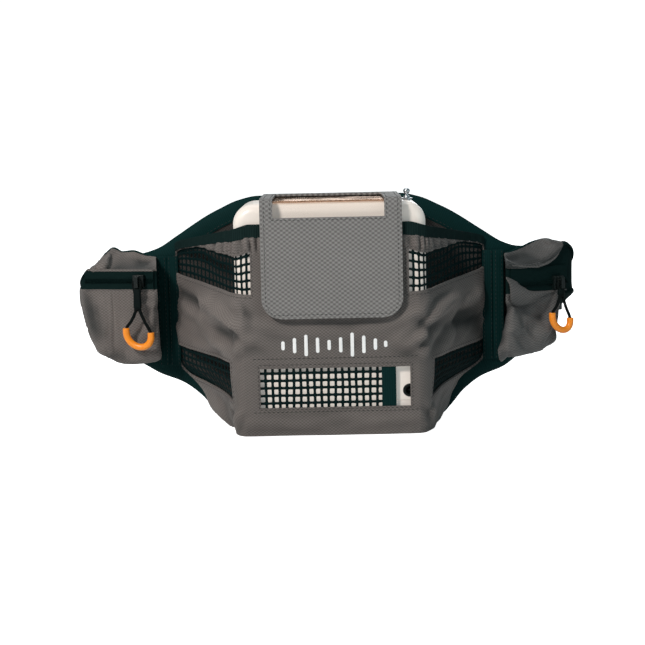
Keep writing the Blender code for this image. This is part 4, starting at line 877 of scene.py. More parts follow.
# Creases of the front cloth: distance along the cloth and z of the middle, direction in
# degrees, half length, width and height (or depth).
FOLDS = [
    (-104, 96, -24, 26, 3.6, 2.0), (-98, 84, -30, 24, 3.0, 1.7), (-86, 92, -14, 22, 3.4, 1.6),
    (-72, 82, -20, 20, 2.8, 1.4), (-112, 74, -36, 15, 2.8, 1.4), (-78, 70, 18, 16, 3.0, 1.2),
    (-92, 30, 40, 18, 3.4, 1.6), (-84, 16, 28, 15, 3.0, 1.3), (-60, 90, -8, 18, 3.0, 1.0),
    (-120, 100, 60, 14, 2.6, 1.2), (72, 98, 22, 22, 3.2, 1.7), (92, 90, 30, 22, 3.4, 2.0),
    (108, 98, 18, 18, 3.0, 1.6), (98, 76, 34, 20, 2.8, 1.5), (80, 78, 8, 18, 2.8, 1.2),
    (62, 84, 40, 16, 2.6, 1.1), (66, 68, -24, 14, 2.8, 1.0), (104, 60, 44, 13, 2.4, 1.2),
    (86, 22, -34, 15, 3.0, 1.3), (118, 84, 80, 14, 2.6, 1.2), (20, 82, 6, 22, 3.0, 0.5),
    (-24, 84, -4, 22, 3.0, 0.5), (46, 12, 4, 26, 2.4, 0.5), (-40, 10, -3, 30, 2.4, 0.6),
    (4, 14, 8, 18, 2.2, 0.4)]
BROAD_FOLDS = [
    (-126, 90, -20, 25, 5.0, 2.6), (118, 94, 9, 34, 5.0, 3.0), (-84, 104, -12, 16, 4.2, 2.0),
    (64, 74, 30, 14, 4.0, 1.8), (-118, 68, 14, 22, 4.4, 2.0), (140, 100, 24, 16, 4.0, 2.0)]
HOLLOWS = [
    (-141, 103, -20, 19, 6.0, 5.0), (-99, 80, -5, 20, 5.0, 3.6), (-108, 25, -52, 16, 5.0, 2.8),
    (-66, 96, -62, 13, 4.0, 2.6), (80, 84, -27, 15, 5.0, 4.2), (131, 81, 4, 26, 4.6, 3.6),
    (98, 104, 12, 20, 3.6, 2.6), (92, 22, 38, 14, 4.6, 2.6), (0, 88, 0, 44, 5.0, 1.6)]


def cloth_relief(column, row):
    """How far the cloth stands off its smooth surface: ruffles under the hem and slack."""
    points = cloth_point(column, row).reshape(-1, 3)
    columns, rows = column.ravel(), row.ravel()
    out = np.abs(columns)
    arc = np.where(out < 5, points[:, 0], np.sign(columns) * (68 + (out - 5) * 13.5))
    ruffles = (smoothstep(9.75, 10.35, rows) * (1 - 0.75 * smoothstep(10.75, 11.0, rows))
               * (1 - 0.92 * smoothstep(8.2, 9.6, out)))
    sides = smoothstep(5.0, 7.5, out)
    middles = smoothstep(4.6, 5.6, rows) * (1 - smoothstep(7.2, 8.0, rows))
    feet = 1 - smoothstep(2.0, 3.2, rows)
    relief = np.zeros(len(columns))
    for i, (x, z) in enumerate(zip(arc, points[:, 2])):
        side, middle, foot = sides[i], middles[i], feet[i]
        slack = max(middle, foot)
        phase = 2.2 * noise_at(x / 19.0, z / 30.0, 3.1)
        d = ruffles[i] * (1.45 * math.sin(TAU * x / 9.0 + phase * 2.6)
                          + 0.9 * noise_at(x / 4.5, z / 6.0, 9.0))
        d += ((0.45 + 1.25 * side) * (0.25 + 0.75 * slack)
              * 2.4 * two_octaves(x / 34.0, z / 26.0, 1.7))
        # creases that run from the lower corner up to the seam
        sign = 1.0 if x > 0 else -1.0
        along = (sign * x) * 0.86 + z * 0.5
        across = -(sign * x) * 0.5 + z * 0.86
        ridge = 1.0 - abs(noise_at(along / 58.0, across / 12.0, 5.0 + sign)) * 2.0
        d += side * max(middle, foot * 0.7) * 1.15 * max(0.0, ridge) ** 3
        d += foot * 0.5 * two_octaves(x / 14.0, z / 9.0, 7.7)
        if slack > 0:
            for height in creases(fold, FOLDS, x, z, seed=0, step=1.7,
                                  stretch=(1.2, 1.6, 1.7), reach=(42, 32)):
                d += slack * height
            for height in creases(fold, BROAD_FOLDS, x, z, seed=40, step=2.3):
                d += slack * height
            for height in creases(hollow, HOLLOWS, x, z, seed=9, step=1.9):
                d += slack * height
        relief[i] = d
    return relief.reshape(column.shape)


def window_mask(column, row):
    """True in the open windows, for cell centres."""
    low = (row > 3) & (row < 5)
    high = (row > 8) & (row < 10)
    side = ((column > 7) & (column < 11.95)) | ((column > -11.95) & (column < -7))
    centre = (column > -3) & (column < 4)
    upper = ((column > 4) & (column < 11.95)) | ((column > -11.95) & (column < -4))
    return (low & (side | centre)) | (high & upper)


def rest_on_case(points, gap=1.5):
    """Hollows stop on the case inside: points nearer to it than the gap move back out."""
    points = points.copy()
    x_over = np.abs(points[..., 0]) - (CASE_HALF_WIDTH - CASE_ROUND)
    y_over = np.abs(points[..., 1]) - (CASE_HALF_DEPTH - CASE_ROUND)
    x_out, y_out = np.maximum(x_over, 0), np.maximum(y_over, 0)
    outer = np.maximum(np.hypot(x_out, y_out), 1e-6)
    clear = outer + np.minimum(np.maximum(x_over, y_over), 0) - CASE_ROUND
    push = np.where((clear < gap) & (points[..., 2] > 2), gap - clear, 0)
    points[..., 0] += np.sign(points[..., 0]) * x_out / outer * push
    points[..., 1] += np.sign(points[..., 1]) * y_out / outer * push
    return points


def mesh_grid(a, b):
    return np.meshgrid(a, b, indexing="ij")


column_lines = divided([-12, -11.95] + list(range(-11, 12)) + [11.95, 12],
                       lambda a, b: 1 if b - a < 0.1 else 9)
row_lines = divided(list(range(0, 12)), lambda a, b: 14 if a == 10 else 8)
columns, rows = mesh_grid(column_lines, row_lines)
relief = cloth_relief(columns, rows)
cloth = rest_on_case(cloth_point(columns, rows) + cloth_normal(columns, rows) * relief[..., None])
windows = window_mask(*mesh_grid((column_lines[1:] + column_lines[:-1]) / 2,
                                 (row_lines[1:] + row_lines[:-1]) / 2))
# relief / 3.4 gives painted shade in the front cloth's hollows and painted highlight on its ridges
front = grid_object("front_fabric_look", cloth, GREY_CLOTH, hole=windows, crease=relief / 3.4)
solidify(front, 1.6, rim=0.45)
fit(front, "front_fabric")


def on_cloth(column, row, proud=0.85):
    """Points on the outer face of the front cloth, with their normals."""
    column, row = np.broadcast_arrays(np.asarray(column, float), np.asarray(row, float))
    normal = cloth_normal(column, row)
    relief = cloth_relief(column.reshape(-1, 1), row.reshape(-1, 1)).ravel()
    return cloth_point(column, row) + normal * (relief[:, None] + proud), normal


def frame_rows(left, right, low, high, column_gap, row_gap, steps):
    """Stitched lines round a window, outside its edge."""
    left, right, low, high = left - column_gap, right + column_gap, low - row_gap, high + row_gap
    across, up = np.linspace(left, right, steps), np.linspace(low, high, 24)
    return [on_cloth(across, low), on_cloth(across, high), on_cloth(left, up),
            on_cloth(right, up)]


# left and right column, low and high row, gaps in columns and rows, steps
WINDOW_STITCHES = [
    (-3, 4, 3, 5, 0.22, 0.16, 90), (7, 11.7, 3, 5, 0.2, 0.14, 50), (-11.7, -7, 3, 5, 0.2, 0.14, 50),
    (4, 11.7, 8, 10, 0.22, 0.13, 70), (-11.7, -4, 8, 10, 0.22, 0.13, 70)]
window_rows = [row for window in WINDOW_STITCHES for row in frame_rows(*window)]
fit(stitches("front_stitching", window_rows, GREY_THREAD))
# the reinforced border sewn above and below the vent window
border_rows = [on_cloth(np.linspace(-4.05, 4.95, 90), row) for row in (5.42, 2.55)]
fit(stitches("front_border_stitching", border_rows, THREAD))

# ---------------------------------------------------------------------- nets
NET_PITCH = 5.45
NET_DEPTH = 1.6                     # how far the nets lie inside the front cloth


def yarn(columns, rows, line, knots, depth, width):
    """Points and UV of one yarn, flat and wider at its knots. line is the coordinate it
    runs along, knots the places on it."""
    normals = cloth_normal(columns, rows)
    points = cloth_point(columns, rows) - normals * depth
    sideways = np.cross(normals, unit(np.gradient(points, axis=0)))
    along = distances(points)
    knots = np.interp(knots, line, along)
    near = np.min(np.abs(along[:, None] - knots[None]), axis=1)
    half_width = width * (1 + 0.75 * np.exp(-(near / 0.85) ** 2)) / 2
    height = 0.30 + 0.10 * np.exp(-(near / 0.9) ** 2)
    angle = np.linspace(0, TAU, 8, endpoint=False)
    ring = (np.cos(angle)[None, :, None] * sideways[:, None] * half_width[:, None, None]
            + np.sin(angle)[None, :, None] * normals[:, None] * height[:, None, None])
    return points[:, None] + ring, grid_uv(along, angle * 0.8)


def net(name, columns, rows, column_range, row_range, width, wobble=0.25):
    """Knotted net with yarns along both directions of the cloth."""
    yarns = []
    line = np.linspace(*row_range, 8 * len(rows))
    for i, column in enumerate(columns):
        path = column + wobble * 0.12 * np.sin(line * 2.1 + i)
        yarns.append(yarn(path, line, line, rows, NET_DEPTH, width))
    line = np.linspace(*column_range, 8 * len(columns))
    for i, row in enumerate(rows):
        path = row + wobble * 0.05 * np.sin(line * 3.0 + i)
        yarns.append(yarn(line, path, line, columns, NET_DEPTH - 0.12, width))
    faces, first = [], 0
    for points, _ in yarns:
        faces += tube_faces(len(points), 8, first)
        first += len(points) * 8
    verts = np.concatenate([points.reshape(-1, 3) for points, _ in yarns])
    obj = mesh_object(name, verts, faces, NET_YARN)
    set_uv(obj.data, np.concatenate([uv.reshape(-1, 2) for _, uv in yarns]))
    return obj


def spaced(start, end, row):
    """Column numbers at equal distances along the cloth."""
    columns = np.linspace(start, end, 200)
    along = distances(cloth_point(columns, np.full_like(columns, row)))
    count = max(2, int(round(along[-1] / NET_PITCH)))
    return np.interp(np.linspace(0, along[-1], count + 1), along, columns)


front_net = net("net_front_look", spaced(-3.2, 2.15, row=4), np.linspace(2.85, 5.12, 7),
                (-3.25, 2.2), (2.78, 5.18), width=2.1, wobble=0.1)
front_net.visible_shadow = False
fit(front_net, "net_front")

# tag, first yarn's column, net's first column, middle row, yarn rows, row range
SIDE_NETS = [("_upper", 3.35, 3.35, 9, (7.85, 10.25), (7.8, 10.3)),
             ("_lower", 6.75, 6.7, 4, (2.85, 5.15), (2.8, 5.2))]
for side, node in ((-1, "net_side_left"), (1, "net_side_right")):
    parts = [net(node + tag, np.sort(side * spaced(first, 12.0, row)), np.linspace(*yarn_rows, 7),
                 sorted((side * start, side * 12.0)), row_range, width=1.9)
             for tag, first, start, row, yarn_rows, row_range in SIDE_NETS]
    side_net = join(node + "_look", parts)
    side_net.visible_shadow = False
    fit(side_net, node)

# the woven strip sewn upright between the vent net and the socket opening
columns, rows = mesh_grid(np.linspace(1.98, 3.03, 12), np.linspace(2.86, 5.14, 30))
strip = grid_object("vent_divider", cloth_point(columns, rows)
                    + cloth_normal(columns, rows) * -0.35, UPRIGHT_TAPE)
fit(solidify(strip, 1.0, rim=0.3))

# ------------------------------------------------------------------- the hem
hem_rows = np.linspace(10.95, 12.0, 10)
columns, rows = mesh_grid(divided(list(range(-12, 13)), lambda a, b: 12), hem_rows)
hem_points = cloth_point(columns, rows)
arc = distances(hem_points[:, 4])
ripple = (0.35 * np.sin(TAU * arc / 9.5)[:, None] * np.linspace(1, 0.1, len(hem_rows))[None]
          + 0.3 * np.sin(TAU * arc / 41.0 + 1.0)[:, None])
hem_points = hem_points + cloth_normal(columns, rows) * ripple[..., None]
hem = grid_object("mouth_hem_look", hem_points, ELASTIC)
fit(solidify(hem, 2.2, rim=0.7, segments=3), "mouth_hem")


# ---------------------------------------------------------------- base panel
def box_uv(obj):
    """UVs in mm from the flattest projection, for pieces made from CAD."""
    mesh = obj.data
    layer = mesh.uv_layers.get("UVMap") or mesh.uv_layers.new(name="UVMap")
    for face in mesh.polygons:
        axis = max(range(3), key=lambda i: abs(face.normal[i]))
        first, second = [(1, 2), (0, 2), (0, 1)][axis]
        for loop in face.loop_indices:
            place = mesh.vertices[mesh.loops[loop].vertex_index].co / MM
            layer.data[loop].uv = (place[first] / UV_UNIT, place[second] / UV_UNIT)


box_uv(polish("base_panel", GREY_CLOTH, bevel=0.5, angle=40))

# -------------------------------------------------------------- the back panel
# x, y, lower edge and upper edge from the middle out to the wing's root
BACK_STATIONS = [
    (0, 42, 0.4, 183.4), (30, 42, 0.4, 183.4), (58, 42, 0.4, 183.6), (74, 42, 0.4, 180.5),
    (90, 42, 1.0, 173.5), (98, 42, 8.5, 169.5), (108, 42, 20.5, 163.5), (124, 42.4, 32.5, 153),
    (*WING_ROOT, 40, 141.5)]
WING_EDGES = [(48, 137.5), (54, 136.5), (60, 134), (70, 124)]   # lower and upper, outwards
TIP_ROUND = 14
EDGE_ROUND = 9.0                    # how far in from the outline the padding thins
BACK_COLUMNS, BACK_ROWS = 150, 72


def wing_axes(side):
    """Plan directions along a wing and out of its front face."""
    angle = math.radians(WING_TURN[side])
    c, s = math.cos(angle), math.sin(angle)
    return np.array([side * c, s]), np.array([side * s, -c])


def half_stations(side):
    direction, _ = wing_axes(side)
    stations = [(side * x, y, low, high) for x, y, low, high in BACK_STATIONS]
    for reach, edges in zip(WING_STEPS[side], WING_EDGES):
        x, y = np.array([side * WING_ROOT[0], WING_ROOT[1]]) + reach * direction
        stations.append((x, y, *edges))
    return stations


def around(grid):
    """The outline of a grid, ending where it starts."""
    return np.concatenate([grid[:, 0], grid[-1, 1:], grid[::-1, -1][1:], grid[0, ::-1][1:]])


stations = np.array(half_stations(-1)[:0:-1] + half_stations(1), float)
station_arc = distances(stations[:, :2])
back_arc = np.linspace(0, station_arc[-1], BACK_COLUMNS)
back_x, back_y = (np.interp(back_arc, station_arc, stations[:, k]) for k in (0, 1))
for _ in range(6):
    for line in (back_x, back_y):
        line[1:-1] = (line[:-2] + 2 * line[1:-1] + line[2:]) / 4
back_low, back_high = (pchip(station_arc, stations[:, k], back_arc) for k in (2, 3))
# round the two wing tips by pulling the outline in near the ends
tip_distance = np.minimum(back_arc, station_arc[-1] - back_arc)
pull_in = np.where(
    tip_distance < TIP_ROUND,
    TIP_ROUND - np.sqrt(np.maximum(TIP_ROUND ** 2 - (TIP_ROUND - tip_distance) ** 2, 0)), 0)
back_low, back_high = back_low + pull_in, back_high - pull_in
back_tangent = unit(np.gradient(np.stack([back_x, back_y], 1), axis=0))
front_normal = np.stack([back_tangent[:, 1], -back_tangent[:, 0], np.zeros(BACK_COLUMNS)], 1)
back_z = back_low[:, None] + (back_high - back_low)[:, None] * np.linspace(0, 1, BACK_ROWS)[None]
back_middle = np.stack(np.broadcast_arrays(back_x[:, None], back_y[:, None], back_z), -1)
edge_distance = np.minimum(np.minimum(back_z - back_low[:, None], back_high[:, None] - back_z),
                           tip_distance[:, None])
fullness = np.sqrt(np.clip(1 - (1 - np.clip(edge_distance / EDGE_ROUND, 0, 1)) ** 2, 0, 1))
channels = np.zeros((BACK_COLUMNS, BACK_ROWS))
for i in range(BACK_COLUMNS):
    x = back_arc[i] - station_arc[-1] / 2
    for j in range(BACK_ROWS):
        z = back_z[i, j]
        # stitched channels: upright lines, and two bowed ones between the outer pair
        near = min(abs(abs(x) - 46), abs(abs(x) - 104))
        if abs(x) < 104:
            near = min(near, abs(z - (66 + 8 * math.cos(x / 60))),
                       abs(z - (128 - 6 * math.cos(x / 60))))
        channels[i, j] = (0.45 * math.exp(-(near / 3.2) ** 2)
                          - 0.10 * (1 - math.exp(-(near / 14.0) ** 2))
                          + 0.06 * two_octaves(x / 22, z / 22, 2.0))
front_thickness = 3.3 * fullness + 0.5
rear_thickness = (3.7 - 3.4 * channels) * fullness + 0.5
front_face = back_middle + front_normal[:, None] * front_thickness[..., None]
rear_face = back_middle - front_normal[:, None] * rear_thickness[..., None]
back_uv = grid_uv(back_arc, back_z)
fit(join("back_panel_look", [
    grid_object("back_front_face", front_face, LINING, back_uv),
    grid_object("back_rear_face", rear_face, SPACER_MESH, back_uv, flip=True),
    grid_object("back_rim", np.stack([around(front_face), around(rear_face)], 1), TAPE),
]), "back_panel")

# ---- binding: a tape folded over the panel's edge
BINDING_FRONT, BINDING_REAR = 13.0, 9.0     # how far it reaches in on each face


def binding_profile():
    """Pairs of distance out past the edge and distance towards the front."""
    def padding(depth):
        return math.sqrt(max(0.0, 1 - (1 - min(depth / EDGE_ROUND, 1)) ** 2))

    profile = [(-d, 3.3 * padding(d) + 1.15) for d in np.linspace(BINDING_FRONT, 0.6, 8)]
    for angle in np.radians(np.linspace(60, -60, 5)):
        profile.append((0.55 + 0.55 * math.cos(angle), 1.0 * math.sin(angle)))
    return profile + [(-d, -(3.9 * padding(d) + 1.15)) for d in np.linspace(0.6, BINDING_REAR, 7)]


outline = around(back_middle)[:-1]
facing = around(np.repeat(front_normal[:, None], BACK_ROWS, 1))[:-1]
outward = np.cross(unit(np.roll(outline, -1, 0) - np.roll(outline, 1, 0)), facing)
# smooth the outward direction round corners
for _ in range(3):
    outward = unit(np.roll(outward, 1, 0) + 2 * outward + np.roll(outward, -1, 0))
profile = binding_profile()
tape_grid = np.stack([outline + outward * a + facing * b for a, b in profile], 1)
tape_grid = np.concatenate([tape_grid, tape_grid[:1]], 0)
closed_facing = np.concatenate([facing, facing[:1]])
binding = grid_object("back_binding", tape_grid, TAPE,
                      grid_uv(distances(np.concatenate([outline, outline[:1]])),
                              distances(np.array(profile))))
fit(solidify(binding, 0.8, rim=0.25))
fit(stitches("back_binding_stitching",
             [(tape_grid[:, 1], closed_facing), (tape_grid[:, -2], -closed_facing)],
             THREAD, length=2.2, pitch=3.4, width=0.5, height=0.3, lift=0.45))

# ------------------------------------------------------------- seam tapes
SEAM_X = 134.2
for side, node in ((-1, "seam_tape_left"), (1, "seam_tape_right")):
    zs = np.linspace(46.2, 136.8, 70)
    xs = np.linspace(125.4, 142.9, 25)
    swell = (-0.9 * np.exp(-((xs - SEAM_X) / 0.8) ** 2)
             + 0.55 * (1 - ((xs - SEAM_X) / 8.9) ** 4))
    slack = np.array([[noise_at(x / 9, z / 15, side) for z in zs] for x in xs])
    x_grid, z_grid = mesh_grid(side * xs, zs)
    grid = np.stack([x_grid, 36.1 - swell[:, None] * 1.15 - 0.25 * slack, z_grid], -1)
    sheet = grid_object(node + "_look", grid, UPRIGHT_TAPE, flip=(side > 0))
    fit(solidify(sheet, 1.4, rim=0.4), node)
    forwards = np.tile([0.0, -1.0, 0.0], (len(zs), 1))
    seam_rows = [(grid[int(np.argmin(abs(xs - x)))], forwards)
                 for x in (127.2, 132.4, 136.0, 141.2)]
    fit(stitches(node + "_stitching", seam_rows, THREAD, length=2.2, pitch=3.4, width=0.45,
                 height=0.28, lift=0.75))

# ==================================================================== pouches
# A pouch is drawn in its own axes: along the wing, out from it, and z.
LEAN_END = 26.0                     # the inner edge's lean fades out this far along
ZIP_PROUD = 0.4                     # zip plane in front of the pouch face
PULL_PROUD = 8.45                   # pull in front of the zip plane
POUCHES = {
    "left": SimpleNamespace(
        side=-1, origin=(-144.5, 39.5), face=33.0, zip_z=120.0,
        zip_from=-9.6, zip_to=49.0, slider=1.8,         # places along the zip
        knot=20.0, legs=40.0, grip=10.4, tilt=0.17,     # pull: drops, grip radius, slope
        lean=12.0, skirt=0.0,                           # lean over the seam, more at the foot
        band=(-6.8, 8.2),                               # zip band below and above the zip
        band_top=[(-20, 8.2), (60, 8.2)],               # along, height above the zip
        lip=0.7, hood=1.02, hood_shade=(14.5, 13.0),          # hood_shade: centre and half width along of the painted shade under the hood
        fan=0.6, ridges=0.35,                           # heights of the loose folds
        roll_to=43, seed=2.3, cloth=GREY_CLOTH,
        # along, face share at the foot, face share at the zip, low z, high z
        outline=[
            (0.0, 0.74, 0.93, 54, 134), (3, 0.88, 0.98, 53.4, 135), (8, 0.97, 1.0, 52.8, 136.2),
            (16, 1.0, 1.0, 52.8, 137.4), (26, 1.0, 1.0, 54.2, 139.5), (34, 0.98, 1.0, 57.2, 143.5),
            (40, 0.95, 1.0, 61, 137.5), (46, 0.90, 0.985, 66.5, 131.5), (51, 0.82, 0.93, 72.5, 126),
            (55, 0.68, 0.80, 79.5, 121), (58, 0.46, 0.54, 87.5, 115.5),
            (59.6, 0.20, 0.24, 95, 110.5), (60, 0.03, 0.03, 100, 106)],
        # along, z, direction in degrees, half length, width, height or depth
        folds=[
            (8, 134.5, 6, 14, 2.4, 2.0), (24, 136, -12, 12, 3.0, 1.6), (40, 133, -46, 10, 2.6, 1.8),
            (4, 110, 12, 9, 2.0, 1.6), (5, 104, -9, 9, 2.0, 1.3), (27, 95, 64, 26, 5.0, 1.6),
            (12, 63, 18, 18, 3.6, 1.6), (34, 68, -32, 14, 3.4, 1.4)],
        hollows=[(15, 134.8, 3, 14, 4.4, 6.5), (-4, 107, 10, 8, 3.0, 2.0),
                 (46, 92, 78, 22, 6.0, 2.0)]),
    "right": SimpleNamespace(
        side=1, origin=(144.5, 39.5), face=26.0, zip_z=110.0,
        zip_from=-13.0, zip_to=43.0, slider=31.4,
        knot=9.0, legs=28.0, grip=9.0, tilt=-0.30,
        lean=17.0, skirt=9.0,
        # the black band reaches higher on this pouch: zip tape near the zip, and above it black
        # cloth painted where the hood's shadow falls
        band=(-6.8, 13.5),
        band_top=[(-20, 16.5), (-10, 15.5), (0, 14.2), (12.8, 13.2), (23, 15.5), (30, 19.5),
                  (35, 25.0), (38, 31.0), (41, 36.0), (57, 36.0)],
        lip=1.8, hood=1.08, hood_shade=(5.5, 12.0),
        fan=0.9, ridges=0.7,
        # this pouch takes the darker copy of the bag cloth: painted shade
        roll_to=34, seed=8.1, cloth=SHADED_CLOTH,
        outline=[
            (0.0, 0.86, 0.90, 46.5, 131), (3, 0.95, 0.97, 48, 132), (9, 1.0, 1.0, 50.8, 133.8),
            (16, 1.0, 1.0, 53.8, 136.4), (23, 1.0, 1.0, 56.4, 138.6), (29, 1.0, 1.0, 58.8, 140),
            (35, 0.97, 1.0, 60.6, 141), (38.5, 0.50, 1.0, 63.5, 143.0), (43, 0.24, 1.0, 68, 142.2),
            (47, 0.14, 0.97, 76, 139.6), (51.5, 0.08, 0.84, 86, 134.0),
            (55, 0.05, 0.58, 96, 126.5), (56.6, 0.03, 0.05, 105, 118)],
        folds=[
            (19, 88, 62, 18, 2.8, 1.8), (9, 72, -84, 20, 3.0, 2.4), (16, 66, 40, 20, 3.4, 2.0),
            (27, 76, 70, 18, 3.4, 1.8), (14, 134, 14, 14, 2.6, 2.0), (32, 138, 30, 12, 2.8, 2.4),
            (0, 127.5, -12, 10, 2.2, 2.0), (22, 60, 12, 14, 2.6, 1.6)],
        hollows=[
            (6, 132.6, -8, 12, 5.0, 6.5), (22, 134, 24, 9, 3.0, 3.0), (10, 92, 4, 14, 3.0, 2.6),
            (-2, 74, 88, 16, 3.4, 2.6), (22, 82, -38, 14, 4.0, 2.4)]),
}
PIPED_COLUMN = -5                   # column of the pouch grid that carries the piping


def band_top(pouch, along):
    """Height of the zip band's upper edge above the zip."""
    table = np.array(pouch.band_top, float)
    return np.interp(along, table[:, 0], table[:, 1])


def pouch_axes(pouch):
    along, out = wing_axes(pouch.side)
    return np.array([*pouch.origin, 0.0]), np.array([*along, 0.0]), np.array([*out, 0.0])


def to_bag(pouch, points):
    origin, along, out = pouch_axes(pouch)
    points = np.asarray(points, float)
    return (origin + points[..., 0:1] * along + points[..., 1:2] * out
            + points[..., 2:3] * np.array([0, 0, 1.0]))


def place(pouch, along, out, z):
    return to_bag(pouch, np.stack(np.broadcast_arrays(along, out, z), -1))


def leaned(pouch, points):
    """Points moved in over the seam tape, as the inner edge of the pouch leans."""
    points = np.array(points, float)
    lean = pouch.lean + pouch.skirt * (1 - smoothstep(56, 96, points[..., 2]))
    fade = 1 - smoothstep(0, LEAN_END + pouch.skirt, points[..., 0])
    points[..., 0] -= lean * (points[..., 1] / pouch.face) * fade
    return points


def pouch_grid(pouch, count=64):
    """The pouch cloth: each row runs from the foot at the wing, over the face, to the top."""
    outline = np.array(pouch.outline, float)
    length = outline[-1, 0]
    part = np.linspace(0, math.pi, count) * 0.5
    stations = length * (1 - np.cos(part)) * 0.35 + length * np.linspace(0, 1, count) * 0.65
    shares = (pchip(outline[:, 0], outline[:, k], stations) for k in (1, 2, 3, 4))
    lip, zip_z = pouch.lip, pouch.zip_z
    rows = []
    for along, foot, at_zip, low, high in zip(stations, *shares):
        lower, upper = pouch.face * foot, pouch.face * at_zip
        band_low = max(min(zip_z + pouch.band[0] - 0.4, high - 6), low + 6)
        band_high = min(zip_z + float(band_top(pouch, along)) + 0.4, high - 2.5)
        band_high = max(band_high, band_low + 3)
        hood = high - band_high
        belly = 0.5 * (lower + upper) if abs(lower - upper) < 4 else lower
        # out from the wing, and z
        rows.append(catmull([
            (0.3, low + 7), (0.22 * lower, low + 1.5), (0.55 * lower, low),
            (0.86 * lower, low + 2.5), (lower, low + 11), (belly * 1.02, (low + band_low) / 2),
            (upper + 0.3, band_low - 3), (upper + 0.2, band_low), (upper - 0.5, zip_z),
            (upper - 0.1, band_high - 0.2), (upper + lip * at_zip, band_high - 0.1),
            (upper * pouch.hood + 0.4 * lip * at_zip, band_high + hood * 0.25),
            (upper * 0.93, band_high + hood * 0.55), (upper * 0.55, band_high + hood * 0.85),
            (0.25 * upper, high), (0.3, high - 1)], 6))
    rows = np.array(rows)
    along = np.repeat(stations[:, None], rows.shape[1], 1)
    return np.concatenate([along[..., None], rows], -1)


def wrinkle(pouch, grid):
    """Slack folds pressed into the cloth, kept away from the zip and the seams.
    Returns the moved grid, its old normals and the fold heights."""
    normals = unit(np.cross(np.gradient(grid, axis=1), np.gradient(grid, axis=0)))
    depth = np.zeros(grid.shape[:2])
    zip_z, seed = pouch.zip_z, pouch.seed
    tops = band_top(pouch, grid[..., 0])
    for i, j in np.ndindex(depth.shape):
        x, out, z = grid[i, j]
        gap = max(z - zip_z - tops[i, j], pouch.band[0] - (z - zip_z))
        d = 1.8 * two_octaves(x / 24, z / 20, seed)
        # folds that fan out from a point above the inner end of the zip
        angle = math.atan2(z - (zip_z + 12), x + 14)
        ridge = 1 - abs(noise_at(angle * 5.2, seed, math.hypot(x, z - zip_z) / 70)) * 2.0
        d += pouch.fan * max(0, ridge) ** 3
        along, across = x * 0.8 + z * 0.6, -x * 0.6 + z * 0.8
        ridge = 1 - abs(noise_at(along / 30, across / 8.5, seed + 4)) * 2.0
        d += pouch.ridges * max(0, ridge) ** 4 * (1.0 if z < zip_z else 0.3)
        for height in creases(fold, pouch.folds, x, z, seed, step=1.3, stretch=(1.1, 1.5, 1.3)):
            d += height
        d *= smoothstep(0.2, 6.0, gap) * smoothstep(0.5, 6.0, out)
        near = smoothstep(0.2, 2.2, gap) * smoothstep(4.0, 12.0, out)
        for height in creases(hollow, pouch.hollows, x, z, seed, step=2.1):
            d += near * height
        depth[i, j] = d
    return grid + normals * depth[..., None], normals, depth


def settle(obj, hold, frames=24):
    """A short cloth run: the cage fills out and sags between its sewn edges."""
    group = obj.vertex_groups.new(name="hold")
    for i, weight in enumerate(hold):
        if weight > 0:
            group.add([i], float(weight), "REPLACE")
    modifier = obj.modifiers.new("cloth", "CLOTH")
    cloth = modifier.settings
    cloth.quality = 6
    cloth.mass = 0.25
    cloth.tension_stiffness = cloth.compression_stiffness = 12
    cloth.shear_stiffness = 6
    cloth.bending_stiffness = 0.25
    cloth.bending_model = "ANGULAR"
    cloth.vertex_group_mass = "hold"
    cloth.pin_stiffness = 1.0
    cloth.use_pressure = True
    cloth.uniform_pressure_force = 1.2
    cloth.shrink_min = -0.03
    cloth.effector_weights.gravity = 0.35
    modifier.collision_settings.use_collision = False
    modifier.collision_settings.use_self_collision = False
    modifier.point_cache.frame_start = 1
    modifier.point_cache.frame_end = frames + 1
    scene = bpy.context.scene
    for number in range(1, frames + 1):
        scene.frame_set(number)
        bpy.context.view_layer.update()
    bake(obj)
    scene.frame_set(1)


def pouch_crease(tag, pouch, grid, depth):
    """Painted shade and highlight of the pouch cloth, from -1 in the hollows to 1 on the ridges."""
    along, out, z = np.moveaxis(grid, -1, 0)
    above = z - pouch.zip_z - band_top(pouch, along)
    # painted shade where the hood sinks in over the zip, deep in its own fold
    centre, half = pouch.hood_shade
    hood_shade = (smoothstep(0.1, 1.2, above) * (1 - smoothstep(3.0, 7.0, above))
            * np.exp(-((along - centre) / half) ** 4) * smoothstep(6, 14, out))
    shadow = np.zeros_like(hood_shade)
    if tag == "right":
        # painted shade on the slack hood and a painted shadow along the tuck's lower edge
        shadow += 0.85 * smoothstep(0, 2.5, above)
        tuck_z = pchip([-18, -9.6, -5, 2, 8, 15, 23, 31],
                       [97.0, 96.4, 94.2, 93.4, 94.2, 96.2, 98.8, 101.0], along)
        shadow += (np.exp(-((z - tuck_z) / 1.9) ** 2) * smoothstep(-16, -8, along)
                   * (1 - smoothstep(22, 32, along)) * smoothstep(12, 20, out))
    return np.clip(depth / 2.8, -1.0, 1.0) * (1 - hood_shade) - hood_shade - shadow


def held(pouch, shell, points):
    """1 for vertices on the sewn edges, the zip band and the wing, which stay put."""
    verts = np.array([vert.co for vert in shell.data.vertices]) / MM
    origin, along_axis, out_axis = pouch_axes(pouch)
    local = verts - origin
    along, out, above = local @ along_axis, local @ out_axis, local[:, 2] - pouch.zip_z
    hold = np.zeros(len(verts))
    hold[out < 1.5] = 1.0
    hold[(above < band_top(pouch, along) + 0.8) & (above > pouch.band[0] - 0.8)
         & (out > pouch.face * 0.45)] = 1.0
    piped = points[:, PIPED_COLUMN][None]
    hold[np.linalg.norm(verts[:, None] - piped, axis=2).min(axis=1) < 0.4] = 1.0
    hold[along + pouch.lean * (out / pouch.face) < 1.0] = 1.0
    hold[along > pouch.outline[-1][0] - 1.5] = 1.0
    return hold


